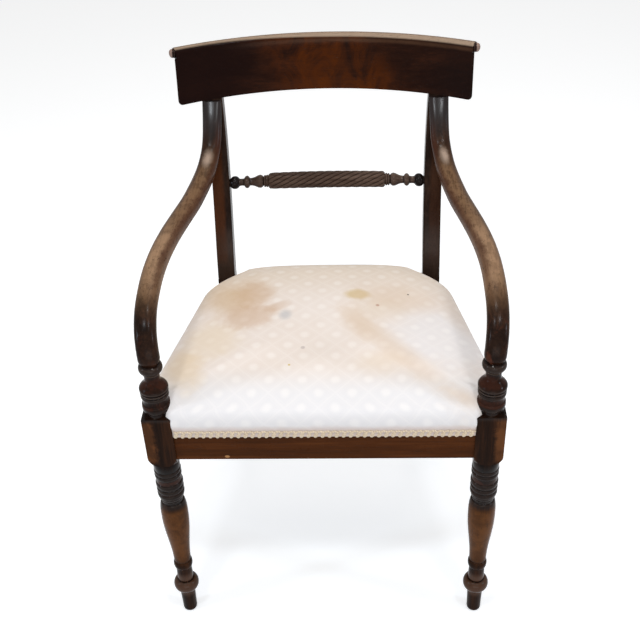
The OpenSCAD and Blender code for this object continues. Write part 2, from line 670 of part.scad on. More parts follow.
// Seat rails
module front_rail() {
    half = leg_x - block_half;
    color(mahogany) difference() {
        union() {
            translate([-half, front_rail_face, rail_bottom]) cube([2 * half, rail_thickness, rail_height]);
            for (side = [0, 1]) mirror([side, 0, 0]) front_tenon();
        }
        rail_holes();
    }
}
module back_rail() {
    half = post_x - post_half;
    color(mahogany) difference() {
        union() {
            translate([-half, back_rail_face - rail_thickness, rail_bottom])
                cube([2 * half, rail_thickness, rail_height]);
            for (side = [0, 1]) mirror([side, 0, 0]) back_tenon();
        }
        rail_holes();
    }
}
module side_rail_right() {
    color(mahogany) difference() {
        union() {
            translate([0, 0, rail_bottom]) linear_extrude(height = rail_height) polygon([
                [side_line(block_back), block_back], [side_line(post_face), post_face],
                [side_line(post_face) - rail_thickness, post_face],
                [side_line(block_back) - rail_thickness, block_back]]);
            side_front_tenon();
            side_back_tenon();
        }
        rail_holes();
    }
}
module side_rail_left() {
    mirror([1, 0, 0]) side_rail_right();
}

// Corner blocks, screwed to the rails from inside
block_wood_top = seat_frame_height - rail_height * 0.1;
block_screw_height = block_wood_top - corner_block_height / 2;
front_rail_inner = front_rail_face + rail_thickness;
back_rail_inner = back_rail_face - rail_thickness;
screw_bite = rail_thickness * 0.7;
module slab(points) {
    translate([0, 0, block_wood_top - corner_block_height])
        linear_extrude(height = corner_block_height) polygon(points);
}
module front_screws_at() {
    y = block_back + corner_block_length / 2;
    x = leg_x - block_half - corner_block_length / 2;
    translate([x, front_rail_inner - screw_bite + corner_screw_length, block_screw_height])
        rotate([90, 0, 0]) children();
    translate([side_line(y) - rail_thickness + screw_bite - corner_screw_length, y, block_screw_height])
        rotate([0, 90, 0]) children();
}
module back_screws_at() {
    y = post_face - corner_block_length / 2;
    x = post_x - post_half - corner_block_length / 2;
    translate([x, back_rail_inner + screw_bite - corner_screw_length, block_screw_height])
        rotate([-90, 0, 0]) children();
    translate([side_line(y) - rail_thickness + screw_bite - corner_screw_length, y, block_screw_height])
        rotate([0, 90, 0]) children();
}
module corner_screw_hole() {
    screw_hole(corner_screw_length, corner_block_length / 2, screw_head_radius + joint_clearance);
}
module corner_block_front_right() {
    x = leg_x - block_half - joint_clearance;
    y = block_back + joint_clearance;
    far = block_back + corner_block_length;
    rail_side = front_rail_inner + joint_clearance;
    color(beech) difference() {
        slab([[x, rail_side], [x - corner_block_length, rail_side],
            [side_line(far) - rail_thickness - joint_clearance, far],
            [side_line(y) - rail_thickness - joint_clearance, y], [x, y]]);
        front_screws_at() corner_screw_hole();
    }
}
module corner_block_front_left() {
    mirror([1, 0, 0]) corner_block_front_right();
}
module corner_block_back_right() {
    x = post_x - post_half - joint_clearance;
    y = post_face - joint_clearance;
    far = post_face - corner_block_length;
    rail_side = back_rail_inner - joint_clearance;
    color(beech) difference() {
        slab([[x, rail_side], [x - corner_block_length, rail_side],
            [side_line(far) - rail_thickness - joint_clearance, far],
            [side_line(y) - rail_thickness - joint_clearance, y], [x, y]]);
        back_screws_at() corner_screw_hole();
    }
}
module corner_block_back_left() {
    mirror([1, 0, 0]) corner_block_back_right();
}
module corner_block_screws() {
    color(steel) for (side = [0, 1]) mirror([side, 0, 0]) {
        front_screws_at() screw(corner_screw_length);
        back_screws_at() screw(corner_screw_length);
    }
}

// Webbing laid on the rails, each web passing over one and under the next
web_end_inset = rail_thickness / 4;
web_tack_inset = rail_thickness * 0.6;
web_level = webbing_thickness + soft_clearance;
long_web_pitch = 2 * (post_x - post_half - rail_thickness) / long_web_count;
web_front = front_rail_face + web_end_inset;
web_back = back_rail_face - web_end_inset;
web_inner_front = front_rail_inner + soft_clearance;
web_inner_back = back_rail_inner - soft_clearance;
cross_web_pitch = (web_inner_back - web_inner_front) / cross_web_count;
function long_web_x(i) = (i - (long_web_count - 1) / 2) * long_web_pitch;
function cross_web_y(j) = web_inner_front + (j + 0.5) * cross_web_pitch;
function web_half(y) = side_line(y + webbing_width / 2) - web_end_inset;
// Profile of a web from one end to the other, lifted where it passes over
function web_path(from, to, places, odd) = concat([[from, 0]],
    [for (i = [0:len(places) - 1], k = [-0.5, 0.5])
        [places[i] + k * webbing_width, (i + odd) % 2 * web_level]],
    [[to, 0]]);
module web(path) {
    last = len(path) - 1;
    translate([0, 0, seat_frame_height]) rotate([90, 0, 0])
        translate([0, 0, -webbing_width / 2]) linear_extrude(height = webbing_width) polygon(concat(path,
            [for (i = [last:-1:0]) path[i] + [0, webbing_thickness]]));
}
module long_webs() {
    places = [for (j = [0:cross_web_count - 1]) cross_web_y(j)];
    color(beech) difference() {
        for (i = [0:long_web_count - 1])
            translate([long_web_x(i), 0, 0]) rotate([0, 0, 90]) web(web_path(web_front, web_back, places, i));
        long_web_tacks_at() tack_hole();
    }
}
module cross_webs() {
    places = [for (i = [0:long_web_count - 1]) long_web_x(i)];
    color(beech) difference() {
        for (j = [0:cross_web_count - 1]) translate([0, cross_web_y(j), 0])
            web(web_path(-web_half(cross_web_y(j)), web_half(cross_web_y(j)), places, j + 1));
        cross_web_tacks_at() tack_hole();
    }
}
tack_head_height = tack_head_radius * 0.3;
tack_shank_radius = tack_head_radius * 0.38;
tacks_per_end = 3;
tack_pitch = webbing_width / tacks_per_end;
module tack() {
    union() {
        cylinder(r = tack_head_radius, h = tack_head_height);
        translate([0, 0, -tack_length])
            cylinder(r1 = joint_clearance, r2 = tack_shank_radius, h = tack_length + joint_clearance);
    }
}
module tack_hole() {
    translate([0, 0, -tack_length - joint_clearance]) cylinder(
        r1 = 2 * joint_clearance,
        r2 = tack_shank_radius + joint_clearance,
        h = tack_length + joint_clearance);
}
module long_web_tacks_at() {
    for (i = [0:long_web_count - 1], k = [0:tacks_per_end - 1],
        y = [front_rail_face + web_tack_inset, back_rail_face - web_tack_inset])
        let (x = long_web_x(i) + (k - (tacks_per_end - 1) / 2) * tack_pitch)
        translate([x, y, seat_frame_height + webbing_thickness]) children();
}
module cross_web_tacks_at() {
    for (j = [0:cross_web_count - 1], k = [0:tacks_per_end - 1], side = [-1, 1])
        let (y = cross_web_y(j) + (k - (tacks_per_end - 1) / 2) * tack_pitch)
        translate([side * (side_line(y) - web_tack_inset), y, seat_frame_height + webbing_thickness])
            children();
}
module webbing_tacks() {
    color(steel) union() {
        long_web_tacks_at() tack();
        cross_web_tacks_at() tack();
    }
}

// Plan of the seat inside the blocks and the posts, drawn in from the rails by a margin
module seat_plan(margin, clear) {
    front = front_rail_face + margin;
    back = back_rail_face - margin;
    difference() {
        polygon([[side_line(front) - margin, front], [side_line(back) - margin, back],
            [margin - side_line(back), back], [margin - side_line(front), front]]);
        corner_notches(clear);
    }
}
module corner_notches(clear) {
    reach = block_side + post_width;
    for (side = [0, 1]) mirror([side, 0, 0]) {
        translate([leg_x - block_half - clear, block_back + clear - reach]) square(reach);
        translate([post_x - post_half - clear, post_face - clear]) square(reach);
    }
}
hessian_bottom = seat_frame_height + web_level + webbing_thickness + soft_clearance;
hessian_top = hessian_bottom + hessian_thickness;
hessian_margin = rail_thickness / 8;
// The turned edge of the hessian comes down onto the rails and the ends of the webs
module hessian() {
    rim_bottom = seat_frame_height + webbing_thickness + soft_clearance;
    color(beech) union() {
        translate([0, 0, hessian_bottom]) linear_extrude(height = hessian_thickness)
            seat_plan(hessian_margin, soft_clearance);
        translate([0, 0, rim_bottom]) linear_extrude(height = hessian_top - rim_bottom) difference() {
            seat_plan(hessian_margin, soft_clearance);
            seat_plan(2 * hessian_margin, soft_clearance + hessian_margin);
        }
    }
}

// The seat cover, from its hem on the rails up to the crown. Each row holds shares: how far out
// from the middle, its height between the rail top and the crown, and how far the rear
// corners have been drawn in ahead of the posts. The edge share is the row just inside the
// rounded edge, which lies at the edge height.
cover_shares = [
    [1, -0.21, 0], [1, -0.04, 0.1], [1.004, 0.05, 0.35], [1.009, 0.16, 0.7], [1.008, 0.29, 1],
    [0.998, 0.43, 1], [0.975, 0.54, 1], [0.938, 0.61, 1], [0.88, 0.68, 1], [0.78, 0.775, 0.9],
    [0.62, 0.87, 0.7], [0.42, 0.95, 0.4], [0.2, 0.99, 0.2]];
cover_edge_share = 0.61;
cover_middle_share = 0.5;
function cover_height(share) = share < cover_edge_share ? share / cover_edge_share * seat_edge_height
    : seat_edge_height
        + (share - cover_edge_share) / (1 - cover_edge_share) * (seat_crown_height - seat_edge_height);
rear_ease = rail_thickness * 1.85;
ease_start_share = 0.78;
cover_side_points = 13;
cover_front_points = 8;
cover_back_points = 6;
cover_out = cover_thickness + soft_clearance;
cover_front = front_rail_face - cover_out;
cover_back = back_rail_face + cover_out;
cover_middle = cover_back - cover_middle_share * (cover_back - cover_front);
function cover_side(y, ease) = side_line(y) + cover_out
    - ease * rear_ease * pow(max(0, (y - block_back) / (post_face - block_back) - ease_start_share)
        / (1 - ease_start_share), 2);
// Back line of the cover, which is drawn forward as it rises and curves forward to the posts
rear_draw = rail_thickness / 3;
function cover_rear(ease) = cover_back - rear_draw * pow(ease, 2);
function cover_back_line(share, ease) =
    cover_rear(ease) - ease * (cover_rear(ease) - post_face) * (1 - sqrt(1 - pow(share, 3)));
// Right half of the plan of the cover, from the middle of the front to the middle of the back
function cover_half(ease) = concat(
    [for (i = [0:cover_front_points - 1])
        [cover_side(cover_front, ease) * i / cover_front_points, cover_front]],
    [for (i = [0:cover_side_points - 1])
        let (y = cover_front + (post_face - cover_front) * i / cover_side_points)
        [cover_side(y, ease), y]],
    [for (i = [cover_back_points:-1:1]) let (x = cover_side(post_face, ease) * i / cover_back_points)
        [x, i == cover_back_points ? post_face : cover_back_line(i / cover_back_points, ease)]]);
function cover_plan(ease) = let (half = cover_half(ease), n = len(half)) concat(half,
    [[0, cover_rear(ease)]], [for (i = [n - 1:-1:1]) [-half[i][0], half[i][1]]]);
// One level of the cover, drawn in from its outer face by an inset
function cover_ring(row, inset) = let (
    drop = row[1] > 0.5 ? inset : 0,
    half_width = cover_side(cover_middle, 0),
    size = row[0] - inset / half_width)
    [for (p = cover_plan(row[2])) [p[0] * size, cover_middle + (p[1] - cover_middle) * size,
        seat_frame_height + cover_height(row[1]) - drop]];
cover_inner_rows = [0, 3, 6, 8, 10, 12];
module seat_cover() {
    outer = [for (row = cover_shares) cover_ring(row, 0)];
    inner = [for (i = cover_inner_rows) cover_ring(cover_shares[i], cover_thickness)];
    n = len(outer[0]);
    rings = concat([for (i = [len(inner) - 1:-1:0]) inner[i]], outer);
    count = len(rings);
    bottom = seat_frame_height + seat_crown_height - cover_thickness;
    color(damask) difference() {
        polyhedron(points = concat([for (ring = rings) each ring],
            [[0, cover_middle, bottom], [0, cover_middle, bottom + cover_thickness]]),
            faces = concat(
                [for (j = [0:n - 1]) [j, (j + 1) % n, count * n]],
                ring_faces(count, n),
                [for (j = [0:n - 1]) [(count - 1) * n + (j + 1) % n, (count - 1) * n + j, count * n + 1]]));
        cover_corners(soft_clearance);
    }
}
module cover_corners(clear) {
    translate([0, 0, rail_bottom]) linear_extrude(height = rail_height + 2 * seat_crown_height)
        corner_notches(clear);
}
stuffing_inset = cover_thickness + soft_clearance;
stuffing_ease_share = 0.6;
module seat_stuffing() {
    base = (hessian_top + soft_clearance - seat_frame_height) / seat_edge_height * cover_edge_share;
    rows = concat([[1, base, stuffing_ease_share]], [for (i = cover_inner_rows) if (i > 1) cover_shares[i]]);
    rings = [for (row = rows) cover_ring(row, stuffing_inset)];
    color(damask) difference() {
        loft(rings);
        cover_corners(stuffing_inset + soft_clearance);
    }
}

// Gimp braid over the raw edge of the cover, its lower edge scalloped
gimp_round_share = 0.16;
gimp_out = cover_out + 2 * soft_clearance;
scallop_steps = 5;
module gimp_strip(length) {
    count = round(length / gimp_scallop);
    pitch = length / count;
    depth = gimp_height * gimp_round_share;
    translate([0, 0, seat_frame_height - gimp_height]) rotate([90, 0, 0]) linear_extrude(height = gimp_thickness)
        polygon(concat([[length, gimp_height], [0, gimp_height]],
            [for (i = [0:count - 1], k = [0:scallop_steps - 1]) let (t = k / scallop_steps)
                [(i + t) * pitch, depth * (1 - sin(180 * t))]],
            [[length, depth]]));
}
module gimp_front() {
    half = leg_x - block_half - soft_clearance;
    color(damask) translate([-half, front_rail_face - gimp_out, 0]) gimp_strip(2 * half);
}
module gimp_back() {
    half = post_x - post_half - soft_clearance;
    color(damask) rotate([0, 0, 180]) translate([-half, -back_rail_face - gimp_out, 0]) gimp_strip(2 * half);
}
module gimp_right() {
    angle = atan(side_slope);
    run = post_face - block_back;
    color(damask) intersection() {
        translate([side_line(block_back), block_back, 0]) rotate([0, 0, 90 + angle])
            translate([0, -gimp_out, 0]) gimp_strip(run / cos(angle));
        translate([0, block_back + soft_clearance, rail_bottom])
            cube([front_leg_spacing, run - 2 * soft_clearance, rail_height + gimp_height]);
    }
}
module gimp_left() {
    mirror([1, 0, 0]) gimp_right();
}

// Bottom cloth tacked under the rails
cloth_tacks_side = 5;
module cloth_tacks_at() {
    z = rail_bottom - soft_clearance - bottom_cloth_thickness;
    front_half = leg_x - block_side;
    back_half = post_x - post_width;
    for (i = [0:cloth_tacks_side - 1]) let (t = (i + 0.5) / cloth_tacks_side) {
        y = block_back + (post_face - block_back) * t;
        translate([front_half * (2 * t - 1), front_rail_face + rail_thickness / 2, z]) children();
        translate([back_half * (2 * t - 1), back_rail_face - rail_thickness / 2, z]) children();
        for (side = [-1, 1]) translate([side * (side_line(y) - rail_thickness / 2), y, z]) children();
    }
}
module bottom_cloth() {
    color(steel) difference() {
        translate([0, 0, rail_bottom - soft_clearance - bottom_cloth_thickness])
            linear_extrude(height = bottom_cloth_thickness) seat_plan(rail_thickness / 4, overrun);
        cloth_tacks_at() mirror([0, 0, 1]) tack_hole();
    }
}
module bottom_cloth_tacks() {
    color(steel) cloth_tacks_at() mirror([0, 0, 1]) tack();
}
module rail_holes() {
    long_web_tacks_at() tack_hole();
    cross_web_tacks_at() tack_hole();
    cloth_tacks_at() mirror([0, 0, 1]) tack_hole();
    for (side = [0, 1]) mirror([side, 0, 0]) {
        front_screws_at() screw_hole(corner_screw_length, 0, screw_radius);
        back_screws_at() screw_hole(corner_screw_length, 0, screw_radius);
    }
}

front_leg_left();
front_leg_right();
back_post_left();
back_post_right();
crest_rail();
crest_buttons();
rope_rail();
arm_left();
arm_right();
arm_screws();
arm_plugs();
front_rail();
back_rail();
side_rail_left();
side_rail_right();
corner_block_front_left();
corner_block_front_right();
corner_block_back_left();
corner_block_back_right();
corner_block_screws();
long_webs();
cross_webs();
webbing_tacks();
hessian();
seat_stuffing();
seat_cover();
gimp_front();
gimp_left();
gimp_right();
gimp_back();
bottom_cloth();
bottom_cloth_tacks();
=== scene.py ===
"""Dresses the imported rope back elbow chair: polished and worn mahogany, a damask seat with
its braid, and the plain cloths below it, seen from the photograph's place."""

import math

import bpy
from mathutils import Matrix, Vector


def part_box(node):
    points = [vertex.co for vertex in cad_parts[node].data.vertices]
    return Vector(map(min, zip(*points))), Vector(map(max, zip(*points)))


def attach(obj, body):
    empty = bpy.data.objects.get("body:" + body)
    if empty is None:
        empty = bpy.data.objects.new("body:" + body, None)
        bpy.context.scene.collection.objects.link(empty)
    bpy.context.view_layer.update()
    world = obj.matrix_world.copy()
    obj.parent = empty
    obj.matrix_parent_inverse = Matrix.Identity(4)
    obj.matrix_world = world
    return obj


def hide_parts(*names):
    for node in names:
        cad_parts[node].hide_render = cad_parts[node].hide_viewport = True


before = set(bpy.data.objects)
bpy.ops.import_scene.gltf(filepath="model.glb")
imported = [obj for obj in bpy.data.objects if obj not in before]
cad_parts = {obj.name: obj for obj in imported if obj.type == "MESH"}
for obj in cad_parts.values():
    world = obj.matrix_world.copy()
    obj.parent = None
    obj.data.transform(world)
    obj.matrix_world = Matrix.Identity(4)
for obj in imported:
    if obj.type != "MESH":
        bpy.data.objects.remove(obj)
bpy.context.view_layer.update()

MM = 0.001


# Shader helpers

class Term:
    """A shader socket on which plain arithmetic adds Math nodes."""

    def __init__(self, nodes, socket):
        self.nodes = nodes
        self.socket = socket

    def __add__(self, other):
        return self.nodes.math("ADD", self, other)

    def __sub__(self, other):
        return self.nodes.math("SUBTRACT", self, other)

    def __rsub__(self, other):
        return self.nodes.math("SUBTRACT", other, self)

    def __mul__(self, other):
        return self.nodes.math("MULTIPLY", self, other)

    def __truediv__(self, other):
        return self.nodes.math("DIVIDE", self, other)

    def __pow__(self, other):
        return self.nodes.math("POWER", self, other)

    __radd__ = __add__
    __rmul__ = __mul__


class Nodes:
    """A node tree, emptied, in which one method makes every node."""

    def __init__(self, tree):
        self.tree = tree
        self.tree.nodes.clear()

    def node(self, kind, settings=None, sockets=None, out=0):
        """Makes a node and gives back one of its outputs, or None where out is None."""
        made = self.tree.nodes.new("ShaderNode" + kind)
        for key, value in (settings or {}).items():
            if key == "stops":
                ramp = made.color_ramp
                while len(ramp.elements) < len(value):
                    ramp.elements.new(0.5)
                for stop, (position, colour) in zip(ramp.elements, value):
                    stop.position = position
                    stop.color = colour
            else:
                setattr(made, key, value)
        for key, value in (sockets or {}).items():
            if isinstance(value, Term):
                self.tree.links.new(value.socket, made.inputs[key])
            else:
                made.inputs[key].default_value = value
        return None if out is None else Term(self, made.outputs[out])

    def math(self, operation, *terms):
        return self.node("Math", {"operation": operation}, dict(enumerate(terms)))

    def seen(self):
        """1 for what the camera sees, also in a gloss or through a clear pane, and 0 for light on things."""
        camera = self.node("LightPath", out="Is Camera Ray")
        gloss = self.node("LightPath", out="Is Glossy Ray")
        clear = self.node("LightPath", out="Is Transmission Ray")
        return self.math("MAXIMUM", self.math("MAXIMUM", camera, gloss), clear)


class Finish(Nodes):
    """A material, with the patterns that the chair's finishes are made of."""

    def __init__(self, name):
        self.material = bpy.data.materials.new(name)
        self.material.use_nodes = True
        super().__init__(self.material.node_tree)
        self.place = self.node("TexCoord", out="Object")

    def axis(self, letter, vector=None):
        return self.node("SeparateXYZ", None, {0: vector or self.place}, out=letter)

    def stretched(self, scale, turn=(0, 0, 0)):
        """Object coordinates, scaled and turned. A pattern is drawn out where the scale is below 1."""
        return self.node("Mapping", None, {"Vector": self.place, "Scale": scale, "Rotation": turn})

    def noise(self, vector, scale, detail=4, roughness=0.5, distortion=0):
        return self.node("TexNoise", None, {"Vector": vector, "Scale": scale, "Detail": detail,
            "Roughness": roughness, "Distortion": distortion})

    def ease(self, term, low, high):
        """A soft step from 0 at low to 1 at high, which may be the smaller number."""
        return self.node("MapRange", {"interpolation_type": "SMOOTHSTEP"},
            {"Value": term, "From Min": low, "From Max": high})

    def band(self, term, low, high, edge):
        """1 between low and high and 0 outside, with a soft edge of the given half width."""
        return self.ease(term, low - edge, low + edge) * (1 - self.ease(term, high - edge, high + edge))

    def mix(self, factor, first, second):
        return self.node("Mix", {"data_type": "RGBA"}, {0: factor, 6: first, 7: second}, out=2)

    def ramp(self, term, stops):
        return self.node("ValToRGB", {"stops": stops}, {0: term})

    def bump(self, height, distance, strength=1.0):
        return self.node("Bump", None, {"Height": height, "Distance": distance, "Strength": strength})

    def surface(self, **sockets):
        """Ends the material in one Principled shader with these sockets, and gives the material back."""
        named = {key.replace("_", " "): value for key, value in sockets.items()}
        shader = self.node("BsdfPrincipled", None, named)
        self.node("OutputMaterial", None, {"Surface": shader}, out=None)
        return self.material


def tint(red, green, blue):
    """A colour as it looks on a screen, from 0 to 255, made linear."""
    channels = [c / 255 for c in (red, green, blue)]
    return tuple(c / 12.92 if c < 0.04045 else ((c + 0.055) / 1.055) ** 2.4 for c in channels) + (1,)


# Camera, light and floor

def place_camera():
    """The camera that was fitted to the legs, blocks, crest and posts of the photograph."""
    place = (0.0612, -1.4299, 1.4767)
    pitch, yaw, roll = 0.62884, -0.04685, -0.03785
    ahead = Vector((math.sin(yaw) * math.cos(pitch), math.cos(yaw) * math.cos(pitch), -math.sin(pitch)))
    level = Vector((math.cos(yaw), -math.sin(yaw), 0))
    rise = level.cross(ahead)
    across = level * math.cos(roll) + rise * math.sin(roll)
    upward = rise * math.cos(roll) - level * math.sin(roll)
    turn = Matrix((across, upward, -ahead)).transposed().to_4x4()
    camera = bpy.data.objects.new("camera", bpy.data.cameras.new("camera"))
    bpy.context.scene.collection.objects.link(camera)
    camera.matrix_world = Matrix.Translation(place) @ turn
    camera.data.sensor_width = 36
    camera.data.lens = 56.46
    camera.data.shift_x = -0.0067
    camera.data.shift_y = -0.0004
    bpy.context.scene.camera = camera


def lamp(name, place, size, watts, colour):
    """A soft box that faces the seat."""
    seat = Vector((0, 0, 0.5))
    light = bpy.data.lights.new(name, "AREA")
    light.shape = "RECTANGLE"
    light.size, light.size_y = size
    light.energy = watts
    light.color = colour
    holder = bpy.data.objects.new(name, light)
    bpy.context.scene.collection.objects.link(holder)
    holder.location = place
    holder.rotation_euler = (seat - Vector(place)).to_track_quat("-Z", "Y").to_euler()


def studio():
    """A world that looks white and lights weakly, and seven lamps."""
    weak = 0.4
    world = bpy.data.worlds.new("studio")
    bpy.context.scene.world = world
    world.use_nodes = True
    nodes = Nodes(world.node_tree)
    strength = nodes.seen() * (1 - weak) + weak
    white = nodes.node("Background", None, {"Color": (1, 1, 1, 1), "Strength": strength})
    nodes.node("OutputWorld", None, {"Surface": white}, out=None)
    lamp("window", (-0.55, -1.2, 2.5), (0.2, 0.2), 9.5, (0.88, 0.94, 1.0))
    lamp("second window", (0.6, -1.1, 2.45), (0.2, 0.2), 8.5, (0.92, 0.96, 1.0))
    lamp("overhead", (0.05, -0.25, 2.5), (0.25, 0.25), 9, (1.0, 0.97, 0.93))
    lamp("ceiling", (0.1, 0.9, 2.6), (1.2, 0.6), 8, (1.0, 0.96, 0.9))
    lamp("front fill", (0.1, -2.4, 0.55), (1.6, 0.8), 9, (1.0, 1.0, 1.0))
    lamp("low window left", (-2.2, -1.0, 1.2), (0.2, 0.5), 13, (0.72, 0.84, 1.0))
    lamp("low window right", (2.2, -0.9, 1.3), (0.2, 0.5), 13, (0.72, 0.84, 1.0))
    bpy.context.scene.view_settings.view_transform = "Standard"


def floor():
    """A pale matt floor that keeps the chair's shadow and looks nearly white."""
    bpy.ops.object.select_all(action="DESELECT")
    bpy.ops.mesh.primitive_plane_add(size=14, location=(0, 1.5, -0.0005))
    ground = bpy.context.active_object
    ground.name = "floor"
    f = Finish("pale floor")
    matt = f.node("BsdfDiffuse", None, {"Color": (0.82, 0.82, 0.82, 1)})
    bright = f.node("Emission", None, {"Color": (1, 1, 1, 1), "Strength": f.seen() * 0.5})
    both = f.node("AddShader", None, {0: matt, 1: bright})
    f.node("OutputMaterial", None, {"Surface": both}, out=None)
    ground.data.materials.append(f.material)


# Finishes

# The numbers in an ease or a band on x, y or z are places on the chair, in metres

def mahogany(name, grain, dark, middle, light, wear_and_painted_light=None, roughness=0.18, hollow_darkening=0.0, specular=0.035,
        polish=None, coat_roughness=0.1):
    """Old polished mahogany: long grain streaks, open pores, faint ribbon figure and a worn polish."""
    f = Finish(name)

    def along_grain(length, width=1.0):
        return f.stretched([length if letter == grain else width for letter in "xyz"])

    ribbons = f.noise(along_grain(0.07), 42, 3, 0.55, 0.7)
    streaks = f.noise(along_grain(0.07, 1.3), 210, 5, 0.65, 0.2)
    drift = f.noise(f.place, 7, 2, 0.5, 0.3)
    pore = f.ease(f.noise(along_grain(0.035), 900, 2, 0.5), 0.62, 0.72)
    tone = ribbons * 0.5 + streaks * 0.32 + drift * 0.18
    colour = f.ramp(tone, [(0.38, tint(*dark)), (0.5, tint(*middle)), (0.62, tint(*light))])
    scuffs = f.noise(f.place, 34, 6, 0.7, 0.4)
    rough = roughness + (scuffs - 0.5) * 0.12 + pore * 0.1
    if wear_and_painted_light:
        for mask, worn, dullness in wear_and_painted_light(f, scuffs, streaks):
            colour = f.mix(mask, colour, worn)
            rough = rough + mask * dullness
    # The hollows of turned and carved work are made nearly black.
    if hollow_darkening:
        colour = f.mix(hollows(f) * hollow_darkening, colour, tint(10, 6, 5))
    colour = f.mix(pore * 0.5, colour, tint(12, 7, 5))
    handled = f.noise(f.place, 120, 3, 0.6)
    height = streaks * 0.3 - pore * 0.9 + handled * 0.35
    return f.surface(Base_Color=colour, Roughness=f.math("MAXIMUM", rough, 0.1),
        Normal=f.bump(height, 0.0002, 0.6), Specular_IOR_Level=specular,
        Coat_Weight=polish(f) if polish else 0.0, Coat_Roughness=coat_roughness)


def hollows(f):
    """1 in the quirks of turned and carved work, which are made nearly black."""
    return f.ease(0.5 - f.node("NewGeometry", out="Pointiness"), 0.0, 0.035)


# How much clear coat a part has, for the glints on it

def leg_polish(f):
    """The turned rings below and above the block shine, and so does the ball of the foot."""
    z = f.axis("Z")
    below_block = f.ease(z, 0.262, 0.27) * (1 - f.ease(z, 0.352, 0.366))
    above_block = f.ease(z, 0.458, 0.464)
    necks = f.band(z, 0.4815, 0.4975, 0.002) + f.band(z, 0.516, 0.538, 0.004)
    foot_ball = f.band(z, 0.045, 0.096, 0.008)
    return (below_block * 0.13 + above_block * 0.14) * (1 - necks * 0.85) + foot_ball * 0.2


def arm_polish(f):
    """Most coat where the arm rises to the crest."""
    rise = f.ease(f.axis("Z"), 0.69, 0.74)
    return rise * 0.3 + 0.05


def post_polish(f):
    """Only the foot of the post, just above the seat."""
    above_seat = 1 - f.ease(f.axis("Z"), 0.5, 0.6)
    return above_seat * 0.08


def rope_polish(f):
    """The turned ends and not the carved rope."""
    turned_end = f.ease(f.math("ABSOLUTE", f.axis("X")), 0.1, 0.108)
    return turned_end * 0.12


def button_polish(f):
    """The outer part of each button."""
    outer = f.ease(f.math("ABSOLUTE", f.axis("X")), 0.248, 0.252)
    return outer * 0.2


# How a part is worn, and where light and shade are painted on it: layers of a mask, the colour there and
# what it adds to the roughness

def crest_wear_and_painted_light(f, scuffs, streaks):
    """A flame of warm figure near the middle, darker ends, the top of the roll worn pale with a painted
    highlight on it, and a painted reflection as a pale band under the roll on its right part.
    """
    x, z = f.axis("X"), f.axis("Z")
    side = f.math("ABSOLUTE", x + (scuffs - 0.5) * 0.05 - 0.01 + (z - 0.8) * 0.6)
    flame = f.noise(f.stretched((1, 1, 0.5), turn=(0, 0.8, 0)), 26, 4, 0.6, 1.2)
    glow = (1 - f.ease(side, 0.04, 0.14)) * f.ease(flame, 0.25, 0.7)
    left_end = f.ease(x, -0.1, -0.18)
    right_end = f.ease(x, 0.16, 0.23)
    wear_and_highlight = f.noise(f.stretched((0.15, 1, 1)), 120, 4, 0.6, 0.3)
    # Painted reflection: a pale band under the roll, on its right part.
    painted_reflection_under_roll = f.band(z, 0.836, 0.842, 0.0025) * f.ease(x, -0.2, 0.0)
    start = 0.8485 - f.ease(x, -0.2, 0.03) * 0.0034
    summit = f.ease(z, 0.8496, 0.85)
    # The top of the roll: pale wear with a painted highlight on it.
    top = f.ease(z - start, -0.0022, 0.0012) * (0.75 + wear_and_highlight * 0.4) * (1 - summit * 0.4)
    return [(glow, tint(72, 32, 6), 0.0),
        (left_end * 0.85, tint(22, 9, 7), 0.0),
        (right_end * 0.7, tint(20, 11, 10), 0.0),
        (painted_reflection_under_roll * (0.2 + wear_and_highlight * 0.5), tint(84, 58, 42), 0.0),
        (top, tint(152, 130, 110), 0.12)]


def button_wear(f, scuffs, streaks):
    """The face of each button is worn pale."""
    face = f.ease(f.math("ABSOLUTE", f.axis("X")), 0.2588, 0.2602)
    return [(face * (0.6 + scuffs * 0.4), tint(158, 130, 116), 0.1)]


